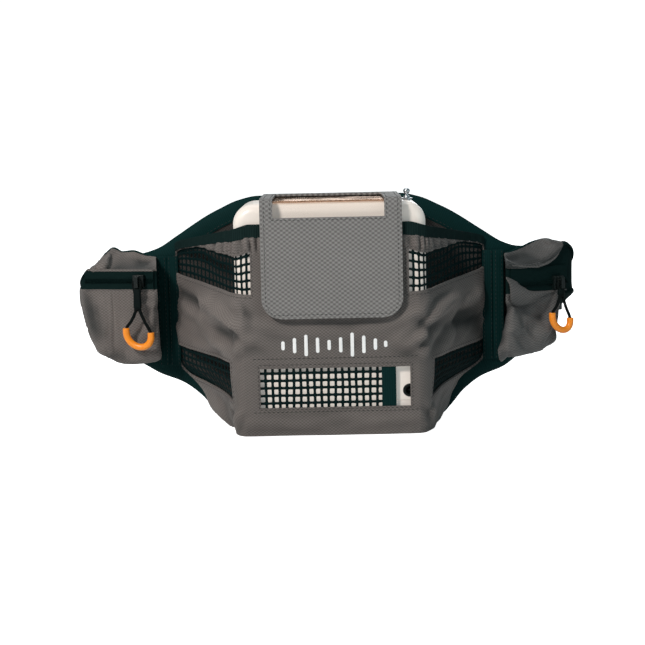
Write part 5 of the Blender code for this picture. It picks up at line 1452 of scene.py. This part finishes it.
def build_shell(tag, pouch):
    """The cloth shell, open behind the zip, and the piping over its top rear edge."""
    grid = pouch_grid(pouch)
    wrinkled, normals, depth = wrinkle(pouch, grid)
    wrinkled = leaned(pouch, wrinkled)
    points = to_bag(pouch, wrinkled)
    along, out, z = np.moveaxis((grid[1:, 1:] + grid[:-1, :-1]) / 2, -1, 0)
    above = z - pouch.zip_z
    slot = ((abs(above) < 3.0) & (out > pouch.face * 0.5) & (along > 2.5)
            & (along < pouch.zip_to - 2.5))
    shell = grid_object(f"pouch_{tag}_look", points, pouch.cloth, hole=slot,
                        flip=(pouch.side > 0), crease=pouch_crease(tag, pouch, grid, depth))
    # faces of the black zip band; on the right pouch its upper part is black cloth painted where
    # the hood's shadow falls
    in_band = ((above > pouch.band[0] - 0.2) & (above < band_top(pouch, along) + 0.2)
               & (out > pouch.face * 0.12))
    if tag == "right":
        in_band |= (along > 35.5) & (z < pouch.zip_z)      # the black gusset on the outer side
    shell.data.materials.append(ZIP_TAPE)
    shell.data.polygons.foreach_set("material_index", in_band[~slot].astype(np.int32).ravel())
    settle(shell, held(pouch, shell, points))
    fit(solidify(shell, 1.3, rim=0.35), "pouch_" + tag)
    piped = wrinkled[:, PIPED_COLUMN] + normals[:, PIPED_COLUMN] * 0.6
    fit(tube(f"pouch_{tag}_piping", to_bag(pouch, piped[2:-1]), 0.9, TAPE))


def build_zipper(tag, pouch, line):
    """Two woven tapes, the coil between them and a tape behind."""
    outline = np.array(pouch.outline, float)
    zip_out, zip_z = pouch.face + ZIP_PROUD, pouch.zip_z
    parts = []
    for low, high in ((1.0, pouch.band[1]), (pouch.band[0], -1.0)):
        along, part = mesh_grid(line, np.linspace(0, 1, 8))
        cloth_top = pchip(outline[:, 0], outline[:, 4], np.clip(along, 0, 60)) - 1.6
        top = np.maximum(np.minimum(zip_z + high, cloth_top), zip_z + low + 1.2)
        z = zip_z + low + (top - zip_z - low) * part
        out = zip_out + 0.55 + 0.10 * np.sin(along / 3.3 + z)
        tape = grid_object("tape", place(pouch, along, out, z), ZIP_TAPE,
                           np.stack([along, z], -1), flip=(pouch.side > 0))
        parts.append(solidify(tape, 0.8))
    # coil: a row of rounded loops on each side of the middle
    angle = np.linspace(0, TAU, 11)
    for row, shift in ((0.62, 0.0), (-0.62, 0.62)):
        for start in np.arange(pouch.zip_from + 1.2, pouch.zip_to - 1.0, 1.25):
            loop = place(pouch, start + shift + np.linspace(0, 0.45, 11),
                         zip_out + 1.55 + 0.72 * np.sin(angle), zip_z + row + 0.98 * np.cos(angle))
            parts.append(tube("coil", loop, 0.27, ZIP_TAPE, sides=6, up=(1, 0, 0)))
    along, z = mesh_grid(line, np.linspace(zip_z - 4, zip_z + 4, 4))
    behind = grid_object("tape", place(pouch, along, zip_out + 0.25, z), ZIP_TAPE,
                         np.stack([along, z], -1))
    parts.append(solidify(behind, 0.4))
    fit(join(f"zipper_{tag}_look", parts), "zipper_" + tag)


def build_zip_edges(tag, pouch, line):
    """Rolled edges of the cloth above and below the tapes."""
    out = pouch.face + ZIP_PROUD + 0.2
    upper = line[line < pouch.roll_to]
    paths = [place(pouch, upper, out + pouch.lip, pouch.zip_z + band_top(pouch, upper) + 0.2),
             place(pouch, line, out, pouch.zip_z + pouch.band[0] - 0.3)]
    rolls = [tube("roll", path, 0.75, pouch.cloth) for path in paths]
    fit(join(f"pouch_{tag}_zip_edges", rolls))


def build_tuck(pouch):
    """A tuck of slack cloth folded up over the inner end of the zip."""
    count = 46
    share = np.linspace(0, 1, count)
    top_along, low_along = -12.8 + 43.5 * share, -9.6 + 40.3 * share
    top_z = pchip([-12.8, -7, -1, 4, 8, 12, 20, 31],
                  [117.0, 114.6, 111.2, 107.4, 104.5, 103.4, 102.8, 102.4], top_along)
    low_z = pchip([-9.6, -5, 2, 8, 15, 23, 31],
                  [97.6, 95.4, 94.6, 95.4, 97.4, 100.0, 102.0], low_along)
    # down the tuck, then turned under at its lower edge
    down = np.concatenate([np.linspace(0, 1, 16), [1.06, 1.10, 1.06, 0.94]])
    proud = np.concatenate([
        1.0 + 3.0 * smoothstep(0, 0.34, down[:16]) + 0.8 * np.sin(down[:16] * 5.0),
        [3.9, 2.9, 1.2, -0.4]])
    fade = 1 - 0.85 * smoothstep(0.55, 1.0, share)
    ripple = np.array([[0.7 * two_octaves(s * 4.0, d * 2.4, 3.3) * (0.2 < d < 1.05)
                        for d in down] for s in share])
    along = top_along[:, None] + (low_along - top_along)[:, None] * down
    along = along - (5.0 * (1 - smoothstep(0.3, 1.0, share)))[:, None]
    out = pouch.face + ZIP_PROUD + (proud + ripple) * fade[:, None]
    z = top_z[:, None] + (low_z - top_z)[:, None] * down
    # painted shade on the tuck's turned-under lower rows, with a faint painted highlight across its
    # middle
    fold_shading = np.interp(np.arange(20), [0, 3, 9, 15, 17, 19], [-0.1, 0.0, 0.2, -0.3, -1.0, -1.0])
    tuck = grid_object("pouch_right_tuck", place(pouch, along, out, z), pouch.cloth,
                       crease=np.repeat(fold_shading[None], count, 0))
    fit(solidify(tuck, 1.1, rim=0.2))


def pull_tab(pouch, out):
    """A moulded sleeve over both legs of the cord."""
    top, bottom = pouch.zip_z - 4.6, pouch.zip_z - pouch.knot - 1.5
    height = top - bottom
    bm = bmesh.new()
    bmesh.ops.create_cube(bm, size=1.0)
    for vert in bm.verts:
        vert.co = Vector((vert.co.x * 6.6, vert.co.y * 3.6, vert.co.z * height))
    bmesh.ops.bevel(bm, geom=bm.edges[:], offset=1.3, segments=4, affect="EDGES", profile=0.5)
    for vert in bm.verts:
        x, y, z = vert.co
        pinch = 1.0 - 0.18 * (0.5 + z / height)
        spot = np.array([pouch.slider + x * pinch, out + y, (top + bottom) / 2 + z])
        vert.co = Vector(to_bag(pouch, spot))
    return bm_object("tab", bm, TAB, angle=45)


def build_pull(tag, pouch):
    """Looped cord, tab and knot under the slider, and the bent grip tube round the loop."""
    out = pouch.face + ZIP_PROUD + PULL_PROUD
    knot, legs, radius = pouch.knot, pouch.legs, pouch.grip
    # one leg of the cord: sideways from the slider, and z from the zip
    leg = [(radius, -legs - 1.0), (radius * 0.9, -legs + 2.5),
           (radius * 0.5, -(knot + legs) / 2 - 1), (1.5, -knot - 2), (1.5, -knot * 0.6),
           (2.9, -4.0), (3.0, -1.3), (2.0, 0.1), (0, 0.15)]
    aside, drop = catmull(leg + [(-x, z) for x, z in leg[-2::-1]], 7).T
    drop = drop + pouch.tilt * aside * smoothstep(-knot - 2, -legs, drop)
    cord = tube("cord", place(pouch, pouch.slider + aside, out, pouch.zip_z + drop), 1.25,
                CORD, sides=12, up=(0, 1, 0))
    tab = pull_tab(pouch, out)
    # knot: sideways, outwards, and z from the zip
    turns = np.array([(-2.2, 0, -2.3), (0, -1.6, -3.0), (2.2, 0, -2.3), (0, 1.6, -1.6),
                      (-2.2, 0, -2.3)]) + (pouch.slider, out, pouch.zip_z - knot)
    knot_tube = tube("knot", to_bag(pouch, catmull(turns, 6)), 0.95, CORD, up=(0, 1, 0))
    fit(join(f"pull_cord_{tag}_look", [cord, tab, knot_tube]), "pull_cord_" + tag,
        body="pull_" + tag)
    angle = np.radians(np.linspace(180, 360, 41))
    aside = np.concatenate([[-radius], radius * np.cos(angle), [radius]])
    drop = np.concatenate([[-legs + 1.0], -legs - 2 + radius * np.sin(angle), [-legs + 1.0]])
    drop = drop + pouch.tilt * aside
    grip = tube(f"pull_grip_{tag}_look",
                place(pouch, pouch.slider + aside, out, pouch.zip_z + drop), 2.75, ORANGE,
                sides=24, up=(0, 1, 0))
    soften(grip, 0.5, segments=3, degrees=60)
    fit(grip, "pull_grip_" + tag, body="pull_" + tag)


for tag, pouch in POUCHES.items():
    build_shell(tag, pouch)
    zip_line = np.linspace(pouch.zip_from + 0.2, pouch.zip_to - 0.2, 60)
    build_zipper(tag, pouch, zip_line)
    build_zip_edges(tag, pouch, zip_line)
    if tag == "right":
        build_tuck(pouch)
    polish("zip_slider_" + tag, ACETAL, bevel=0.45, segments=3)
    build_pull(tag, pouch)

# ======================================================================= flap
# The flap is measured by x and by the distance from its rear edge, over the crease and down.
FLAP_HALF_WIDTH, FLAP_MIDDLE = 54.8, 1.2
FLAP_REAR_Y, FLAP_TOP_Z, FLAP_BOTTOM_Z = 45.5, 185.4, 93.0
FLAP_CORNER = 16
CREASE_Y, CREASE_RADIUS = -37.0, 6.0
CREASE_Z = FLAP_TOP_Z - CREASE_RADIUS
BEND_START = FLAP_REAR_Y - CREASE_Y
BEND_END = BEND_START + CREASE_RADIUS * math.pi / 2
FLAP_END = BEND_END + CREASE_Z - FLAP_BOTTOM_Z
WINDOW_START = FLAP_REAR_Y - 29.0
WINDOW_END = BEND_END + CREASE_Z - 171.3
WINDOW_LEFT, WINDOW_RIGHT = -43.5, 42.5


def flap_path(d):
    """Y, Z and the outward direction at distance d from the rear edge."""
    if d <= BEND_START:
        return FLAP_REAR_Y - d, FLAP_TOP_Z, 0.0, 1.0
    if d <= BEND_END:
        angle = (d - BEND_START) / CREASE_RADIUS
        c, s = math.cos(angle), math.sin(angle)
        return CREASE_Y - CREASE_RADIUS * s, CREASE_Z + CREASE_RADIUS * c, -s, c
    return CREASE_Y - CREASE_RADIUS, CREASE_Z - (d - BEND_END), -1.0, 0.0


def flap_half(z):
    """Half width at height z, narrowing round the bottom corners."""
    d = FLAP_CORNER - (z - FLAP_BOTTOM_Z)
    if d <= 0:
        return FLAP_HALF_WIDTH
    return FLAP_HALF_WIDTH - (FLAP_CORNER - math.sqrt(max(FLAP_CORNER ** 2 - d * d, 0)))


def flap_point(x, d, proud=0.0):
    y, z, out_y, out_z = flap_path(d)
    half = flap_half(z) if d > BEND_END else FLAP_HALF_WIDTH
    x = x * half / FLAP_HALF_WIDTH + FLAP_MIDDLE
    if d > BEND_END:
        # the front hangs a little proud towards its free edge and corners
        e = smoothstep(BEND_END, FLAP_END, d)
        lift = (0.9 * e * e + 1.2 * e * e * (abs(x) / FLAP_HALF_WIDTH) ** 3
                + 0.35 * two_octaves(x / 30, z / 28, 4.4) * min(1.0, (d - BEND_END) / 10))
    else:
        # the top waves slightly between the rear edge and the crease
        lift = (0.22 * two_octaves(x / 25, d / 25, 6.2) * smoothstep(0, 8, d)
                * (1 - smoothstep(BEND_START - 12, BEND_START, d)))
    return (np.array([x, y + out_y * (lift + proud), z + out_z * (lift + proud)]),
            np.array([0, out_y, out_z]))


def flap_line(points):
    """Points on the flap's outer face, with their normals."""
    pairs = [flap_point(x, d, 0.8) for x, d in points]
    return tuple(np.array(values) for values in zip(*pairs))


def flap_seam(left, right, start, end, side_steps, end_steps, across_top):
    """Stitched line down the left, along the bottom, up the right and maybe over the top."""
    points = [(left, d) for d in np.linspace(start, end, side_steps)]
    bottom = [(x, end) for x in np.linspace(left, right, end_steps)]
    right_side = [(right, d) for d in np.linspace(end, start, side_steps)]
    if not across_top:
        return [flap_line(points + bottom + right_side)]
    top = [(x, start) for x in np.linspace(right, left, end_steps)]
    return [flap_line(edge) for edge in (points, bottom, right_side, top)]


HOLE_LEFT, HOLE_RIGHT = WINDOW_LEFT - FLAP_MIDDLE, WINDOW_RIGHT - FLAP_MIDDLE
flap_xs = divided([-54.8, -51.8, HOLE_LEFT - 2, HOLE_LEFT, HOLE_RIGHT, HOLE_RIGHT + 2, 51.8, 54.8],
                  lambda a, b: 3 if b - a < 4 else (8 if b - a < 20 else 52))
flap_ds = divided([0, 3, WINDOW_START, BEND_START - 8, BEND_END + 1, WINDOW_END,
                   FLAP_END - FLAP_CORNER, FLAP_END - 3, FLAP_END],
                  lambda a, b: 3 if b - a < 3.5 else (18 if b - a < 20 else 40))
flap_grid = np.array([[flap_point(x, d)[0] for d in flap_ds] for x in flap_xs])
cell_x, cell_d = mesh_grid((flap_xs[1:] + flap_xs[:-1]) / 2, (flap_ds[1:] + flap_ds[:-1]) / 2)
hole = ((cell_x > HOLE_LEFT) & (cell_x < HOLE_RIGHT)
        & (cell_d > WINDOW_START) & (cell_d < WINDOW_END))
flap_uv = np.stack(np.broadcast_arrays(flap_grid[..., 0], flap_ds[None]), -1)
flap = grid_object("flap_look", flap_grid, FLAP_CLOTH, flap_uv, hole=hole)
fit(bake(solidify(flap, 1.6, rim=0.5, segments=3)), "flap_top", "flap_front", body=None)

SEAM_INSET, WINDOW_SEAM = 3.2, 1.8
seam_half = FLAP_HALF_WIDTH - SEAM_INSET
flap_rows = flap_seam(-seam_half, seam_half, 2, FLAP_END - SEAM_INSET, 90, 60, False)
flap_rows += flap_seam(HOLE_LEFT - WINDOW_SEAM, HOLE_RIGHT + WINDOW_SEAM,
                       WINDOW_START - WINDOW_SEAM, WINDOW_END + WINDOW_SEAM, 70, 50, True)
flap_thread = stitches("flap_stitching", flap_rows, THREAD, length=2.1, pitch=3.3, width=0.5,
                       height=0.3, lift=0.05)

# clear window, laid under the opening
pane_xs = np.linspace(-46.5 - FLAP_MIDDLE, 46.0 - FLAP_MIDDLE, 40)
pane_ds = np.linspace(WINDOW_START - 2.6, WINDOW_END + 3.0, 60)
pane_grid = [[flap_point(x, d, -1.45 + 0.18 * noise_at(x / 17, d / 21, 1))[0] for d in pane_ds]
             for x in pane_xs]
pane = bake(solidify(grid_object("flap_window_look", pane_grid, VINYL), 0.35))
pane.visible_shadow = False
fit(pane, "flap_window", body=None)
for obj in (flap, flap_thread, pane):
    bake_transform(obj)

polish("hook_tape", HOOK, bevel=0.25, angle=40)

# ======================================================================= belt
BELT_Y, BUCKLE_Y, BUCKLE_Z = 228.2, 234.1, 82.0
WING_BELT_Z = 100                   # height of the webbing where it leaves the wing
WEB_THICKNESS, WEB_HEIGHT = 1.6, 38.0
BAR_X = 30.0
BELTS = [
    # middle: x and y from wing to buckle; lead and tail: distance from x = 0, and y
    SimpleNamespace(side=1, node="belt_webbing_right", bar_half=5.6, lead=[], tail=[(72, 230.6)],
                    middle=[(199, 92), (199, 120), (190, 156), (170, 188), (140, 211),
                            (112, 223.5), (92, BELT_Y - 0.1)]),
    SimpleNamespace(side=-1, node="belt_webbing_left", bar_half=5.0, lead=[(80, BELT_Y)],
                    tail=[(78, 230.8), (108, 231.0)],
                    middle=[(-209.5, 82), (-210, 112), (-199, 152), (-174, 186), (-143, 210),
                            (-114, 223.5), (-93, BELT_Y - 0.1)]),
]


def bar_wrap(half):
    """The webbing's way round the buckle bar."""
    gap = WEB_THICKNESS / 2 + 0.4
    points = [(60, BELT_Y), (42, BUCKLE_Y - half - gap)]
    for sign, start in ((-1, 270), (1, 180)):
        for i in range(3):
            angle = math.radians(start - 45 * i)
            points.append((BAR_X + gap * math.cos(angle),
                           BUCKLE_Y + sign * half + gap * math.sin(angle)))
    return points + [(35.6, BUCKLE_Y + half + gap), (40.2, BUCKLE_Y + half - 2.4),
                     (44.8, 232.0), (52, 231.3), (62, 231.0)]


def belt_path(belt):
    side = belt.side
    along, out = wing_axes(side)
    tip = np.array([side * WING_ROOT[0], WING_ROOT[1]]) + along * WING_STEPS[side][-1]
    sewn = tip - out * 5.4
    plan = [sewn - along * 14, *catmull([sewn + along * 2, *belt.middle], 2)]
    points = []
    for i, (x, y) in enumerate(plan):
        share = i / (len(plan) - 1)
        share = share * share * (3 - 2 * share)
        points.append((x, y, WING_BELT_Z + (BUCKLE_Z - WING_BELT_Z) * share))
    for x, y in belt.lead + bar_wrap(belt.bar_half) + belt.tail:
        points.append((side * x, y, BUCKLE_Z))
    return catmull(points, 5)


for belt in BELTS:
    path = belt_path(belt)
    along = distances(path)
    up = np.array([0, 0, 1.0])
    across = np.linspace(-0.5, 0.5, 15)
    normals = unit(np.cross(unit(np.gradient(path, axis=0)), up))
    # a faint cup across the width where the webbing hangs free
    free = smoothstep(25, 70, along) * (1 - smoothstep(190, 225, along))
    cup = (across ** 2 * 2.6 - 0.3)[None] * free[:, None]
    grid = (path[:, None] + up * (across * WEB_HEIGHT)[None, :, None]
            + normals[:, None] * cup[..., None])
    web = grid_object(belt.node + "_look", grid, WEBBING, grid_uv(along, across * WEB_HEIGHT))
    fit(bake(solidify(web, 1.5, rim=0.4)), belt.node, body=None)
    # rows of stitching where the end is sewn to the wing
    first, last = (int(np.argmin(abs(along - d))) for d in (3, 13))
    sewn, facing = path[first:last + 1], normals[first:last + 1]
    web_rows = [(sewn + up * z + facing * face * 0.85, facing * face)
                for face in (1, -1) for z in (-16, -6, 6, 16)]
    fit(stitches(belt.node + "_stitching", web_rows, THREAD, length=2.0, pitch=2.8, width=0.5,
                 height=0.3, lift=0.0))
    if belt.side > 0:
        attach(web, "bag")
    else:
        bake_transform(web)

for node in ("buckle_female", "buckle_male", "strap_keeper"):
    polish(node, MOULDING, bevel=0.55, segments=3)

# =============================================================== concentrator
CASE_CUT_Z = 26.0                   # the case halves start here
CASE_CORNER_FOOT, CASE_CORNER_TOP = 7, 16
HALF_GAP = 0.16                     # from the middle plane to each half of the case


def case_outline(inset):
    """Rounded rectangle in x and z, inset from the case's outline."""
    foot, top = max(CASE_CORNER_FOOT - inset, 0.4), max(CASE_CORNER_TOP - inset, 0.6)
    x, low, high = CASE_HALF_WIDTH - inset, CASE_FOOT + inset, CASE_TOP - inset
    points = []
    for cx, cz, radius, start in ((x - foot, low + foot, foot, -90), (x - top, high - top, top, 0),
                                  (-x + top, high - top, top, 90),
                                  (-x + foot, low + foot, foot, 180)):
        for i in range(15):
            angle = math.radians(start + 90 * i / 14)
            points.append((cx + radius * math.cos(angle), cz + radius * math.sin(angle)))
    return points


def half_shell(side):
    """The front (-1) or rear (1) half of the rounded case body, open where it is cut off."""
    bm = bmesh.new()
    angles = [math.radians(90 * k / 8) for k in range(9)]
    edge = [(CASE_ROUND - CASE_ROUND * math.sin(a),
             -CASE_HALF_DEPTH + CASE_ROUND - CASE_ROUND * math.cos(a)) for a in angles]
    stations = edge + [(0, 0.0)] + [(inset, -y) for inset, y in reversed(edge)]
    loops = [[bm.verts.new((x, y, z)) for x, z in case_outline(inset)] for inset, y in stations]
    for a, b in zip(loops, loops[1:]):
        for i in range(len(a)):
            j = (i + 1) % len(a)
            bm.faces.new((a[i], a[j], b[j], b[i]))
    bm.faces.new(loops[0])
    bm.faces.new(loops[-1][::-1])
    bmesh.ops.recalc_face_normals(bm, faces=bm.faces)
    for place_on, normal in (((0, side * HALF_GAP, 0), (0, -side, 0)),
                             ((0, 0, CASE_CUT_Z + 0.02), (0, 0, -1))):
        bmesh.ops.bisect_plane(bm, geom=bm.verts[:] + bm.edges[:] + bm.faces[:], dist=1e-4,
                               plane_co=place_on, plane_no=normal, clear_outer=True)
    return bm


def box_cutter(low, high, radius):
    bm = bmesh.new()
    bmesh.ops.create_cube(bm, size=1.0)
    for vert in bm.verts:
        vert.co = Vector([(a + b) / 2 + c * (b - a) for a, b, c in zip(low, high, vert.co)])
    bmesh.ops.bevel(bm, geom=bm.edges[:], offset=radius, segments=4, affect="EDGES", profile=0.5)
    return bm_object("cutter", bm, None)


def round_cutter(radius, centre, along_y=False):
    bm = bmesh.new()
    bmesh.ops.create_cone(bm, cap_ends=True, segments=40, radius1=radius, radius2=radius,
                          depth=30)
    if along_y:
        bm.transform(Matrix.Rotation(math.radians(90), 4, "X"))
    bm.transform(Matrix.Translation(centre))
    return bm_object("cutter", bm, None)


cutters = [box_cutter((-50.3, -21.3, CASE_TOP - 8), (44.3, 21.3, CASE_TOP + 8), 1.2),
           round_cutter(3.35, (NOZZLE_X, NOZZLE_Y, 180)),
           round_cutter(5.3, (60.5, -35, 33.6), along_y=True)]
for z in (58, 66, 74, 82):          # slots in the right side
    cutters.append(box_cutter((55, -20, z - 1.6), (95, 20, z + 1.6), 1.2))
for z in (138, 146, 154):           # slots in the left side
    cutters.append(box_cutter((-95, -16, z - 1.8), (-55, 16, z + 1.8), 1.2))
cutters.append(box_cutter((-14.5, CASE_HALF_DEPTH - 1.6, CASE_CUT_Z - 4),
                          (14.5, CASE_HALF_DEPTH + 6, CASE_CUT_Z + 18.5), 0.8))
for node, side in (("case_front", -1), ("case_rear", 1)):
    half_case = bm_object(node + "_look", half_shell(side), CREAM, angle=30)
    wall = half_case.modifiers.new("wall", "SOLIDIFY")
    wall.thickness = 2.4 * MM
    wall.offset = -1
    wall.use_even_offset = True
    bake(half_case)
    for cutter in cutters:
        cut = half_case.modifiers.new("cut", "BOOLEAN")
        cut.operation = "DIFFERENCE"
        cut.solver = "EXACT"
        cut.object = cutter
    bake(half_case)
    half_case.data.shade_smooth()
    half_case.data.set_sharp_from_angle(angle=math.radians(32))
    soften(half_case, 0.3, segments=2, degrees=40)
    fit(half_case, node)
for cutter in cutters:
    bpy.data.objects.remove(cutter)

# CAD node, material, bevel
for node, material, bevel in [
        ("control_panel", BRONZE, 0.35), ("display_window", GLASS, 0.2),
        ("control_board", BOARD, 0.0), ("main_board", BOARD, 0.0),
        ("power_socket", MOULDING, 0.25), ("compressor_crankcase", CAST, 0.5),
        ("motor_housing", MOULDING, 0.5), ("cylinder_left", CAST, 0.5),
        ("cylinder_right", CAST, 0.5), ("piston_left", CAST, 0.3), ("piston_right", CAST, 0.3),
        ("rubber_mounts", RUBBER, 0.8), ("sieve_column_lower", DRAWN, 0.4),
        ("sieve_column_upper", DRAWN, 0.4), ("valve_manifold", MOULDING, 0.5),
        ("product_tank", TANK, 0.5), ("fan_frame", MOULDING, 0.35), ("fan_rotor", ACETAL, 0.12),
        ("intake_filter", FOAM, 0.8), ("feed_hose", SILICONE, 0.0),
        ("product_hose", SILICONE, 0.0), ("battery_case", CREAM, 0.4),
        ("battery_lid", MOULDING, 0.25), ("cell_pack", CELL_WRAP, 0.3),
        ("battery_latch", ACETAL, 0.3), ("compressor_rotor", STEEL, 0.3),
        ("power_button", BRONZE, 0.2), ("flow_minus_button", ACETAL, 0.2),
        ("flow_plus_button", ACETAL, 0.2)]:
    polish(node, material, bevel, angle=32)

# cannula nozzle, turned about an upright axis: radius and z from the tip down
NOZZLE_PROFILE = [
    (0.0, 191.1), (0.9, 191.05), (1.9, 190.5), (2.55, 189.6), (2.7, 188.7), (2.45, 187.8),
    (1.85, 187.1), (1.55, 186.6), (1.5, 185.9), (1.6, 185.2), (2.0, 184.8), (2.5, 184.6),
    (2.6, 184.2), (2.6, 183.8), (3.0, 183.5), (4.4, 183.4), (4.6, 183.2), (4.6, 182.6),
    (4.4, 182.4), (3.0, 182.2), (3.0, 178.5), (3.0, 174.5), (0.0, 174.5)]
radius, z = catmull(NOZZLE_PROFILE, 2).T
angle = np.linspace(0, TAU, 48, endpoint=False)[:, None]
turned = np.stack(np.broadcast_arrays(NOZZLE_X + radius * np.cos(angle),
                                      NOZZLE_Y + radius * np.sin(angle), z), -1)
nozzle = grid_object("cannula_nozzle_look", np.concatenate([turned, turned[:1]], 0), STEEL,
                     flip=True)
nozzle.data.set_sharp_from_angle(angle=math.radians(40))
fit(nozzle, "cannula_nozzle")

# ---- printed icons on the buttons: plain shapes, no lettering
ICON_Z = CASE_TOP + 1.03
POWER_X, FLOW_X, FLOW_Y = -38, -20.5, 11


def icon_ring(x, y, inner, outer, start, end):
    return grid_object("icon", [[(x + r * math.cos(a), y + r * math.sin(a), ICON_Z)
                                 for r in (inner, outer)]
                                for a in np.radians(np.linspace(start, end, 40))],
                       PRINT, flip=True)


def icon_bar(x, y, width, height):
    return grid_object("icon", [[(x + i * width / 2, y + j * height / 2, ICON_Z)
                                 for j in (-1, 1)] for i in (-1, 1)], PRINT, flip=True)


icons = {
    "power_button": [icon_ring(POWER_X, 0, inner=2.2, outer=2.9, start=120, end=420),
                     icon_bar(POWER_X, 2.5, 0.7, 2.6)],
    "flow_minus_button": [icon_bar(FLOW_X, -FLOW_Y, 3.6, 0.8)],
    "flow_plus_button": [icon_bar(FLOW_X, FLOW_Y, 3.6, 0.8), icon_bar(FLOW_X, FLOW_Y, 0.8, 3.6)],
}
for button, parts in icons.items():
    fit(join(button + "_icon", [solidify(part, 0.08) for part in parts]), body=button)

# ----------------------------------------------------- mark on the front cloth
# a plain reflective motif of upright rounded bars: x and height
MARK_BARS = [(-38, 7), (-29, 12), (-20, 17), (-11, 12), (-2, 8), (7, 12), (16, 19), (25, 14),
             (34, 9), (42, 5)]
MARK_Z, BAR_RADIUS = 71.5, 1.35
mark_outline = []
for x, height in MARK_BARS:
    for end, start in ((height / 2 - BAR_RADIUS, 0), (-height / 2 + BAR_RADIUS, 180)):
        for k in range(9):
            angle = math.radians(start + 180 * k / 8)
            mark_outline.append((x + BAR_RADIUS * math.cos(angle),
                                 MARK_Z + end + BAR_RADIUS * math.sin(angle)))
mark_x, mark_z = np.array(mark_outline).T
mark_points, _ = on_cloth(np.interp(mark_x, UPPER_KNOTS[:, 0], np.arange(-12, 13)),
                          np.interp(mark_z, ROW_CENTRE, range(13)), proud=0.98)
mark_faces = [tuple(range(18 * k, 18 * k + 18)) for k in range(len(MARK_BARS))]
mark = mesh_object("reflective_mark", mark_points, mark_faces, PRINT, smooth=False)
fit(solidify(mark, 0.18))

# ================================================================ stage (metres)
bm = bmesh.new()
bmesh.ops.create_grid(bm, x_segments=1, y_segments=1, size=6.0)
floor_mesh = bpy.data.meshes.new("floor")
bm.to_mesh(floor_mesh)
bm.free()
pale = Material("pale_floor")
pale_stops = [(0.3, (0.90, 0.90, 0.90)), (0.7, (0.92, 0.92, 0.92))]
pale.finish(color=pale.ramp(pale.noise(scale=3.0, detail=2.0), pale_stops), rough=0.9, spec=0.1)
pale.shader.inputs["Emission Color"].default_value = (1, 1, 1, 1)
# the camera sees the floor glow white
camera_ray = pale.node("ShaderNodeLightPath").outputs["Is Camera Ray"]
pale.put(pale.shader.inputs["Emission Strength"], pale.times(camera_ray, 1.0))
floor = new_object("floor", floor_mesh, pale.material)
floor.location.z = -0.0006

world = bpy.data.worlds.new("studio")
bpy.context.scene.world = world
world.use_nodes = True
tree = world.node_tree
background = tree.nodes["Background"]
# what the camera sees is white; the light the room gives is softer
camera_ray = tree.nodes.new("ShaderNodeLightPath").outputs["Is Camera Ray"]
strength = tree.nodes.new("ShaderNodeMapRange")
strength.inputs["To Min"].default_value = 0.17
strength.inputs["To Max"].default_value = 1.02
tree.links.new(camera_ray, strength.inputs["Value"])
tree.links.new(strength.outputs[0], background.inputs["Strength"])
tint = tree.nodes.new("ShaderNodeMix")
tint.data_type = "RGBA"
tint.inputs[6].default_value = (0.74, 1.0, 1.06, 1)
tint.inputs[7].default_value = (1.0, 1.0, 1.0, 1)
tree.links.new(camera_ray, tint.inputs[0])
tree.links.new(tint.outputs[2], background.inputs["Color"])


def aim(place_at, target):
    return (Vector(target) - Vector(place_at)).to_track_quat("-Z", "Y")


def area_light(name, location, target, size, power, color=(1, 1, 1)):
    light = bpy.data.lights.new(name, "AREA")
    light.shape = "RECTANGLE"
    light.size = light.size_y = size
    light.energy = power
    light.color = color
    obj = new_object(name, light)
    obj.location = location
    obj.rotation_euler = aim(location, target).to_euler()


area_light("key", (-0.85, -1.27, 1.22), target=(0, 0, 0.09), size=0.32, power=27.5,
           color=(1.0, 0.94, 0.89))
area_light("fill", (1.3, -1.1, 0.45), target=(0, 0, 0.1), size=0.6, power=1.8,
           color=(0.60, 0.92, 1.0))
area_light("top", (0.0, 0.35, 1.5), target=(0, 0, 0.1), size=1.0, power=5)
area_light("rear", (0.35, 1.7, 0.75), target=(0, 0.15, 0.1), size=1.0, power=9,
           color=(0.96, 0.98, 1.0))

CAMERA_DISTANCE = 1.2
CAMERA_RISE = math.radians(7.0)
CAMERA_ROLL = math.radians(-1.2)
lens = bpy.data.cameras.new("camera")
camera = new_object("camera", lens)
target = Vector((0, 0, 0.094))
location = target + Vector((0, -math.cos(CAMERA_RISE), math.sin(CAMERA_RISE))) * CAMERA_DISTANCE
pose = aim(location, target).to_matrix().to_4x4() @ Matrix.Rotation(CAMERA_ROLL, 4, "Z")
pose.translation = location
camera.matrix_world = pose
lens.sensor_width = 36
lens.lens = 83.4
lens.shift_x = -0.0132
lens.shift_y = -0.0192
bpy.context.scene.camera = camera
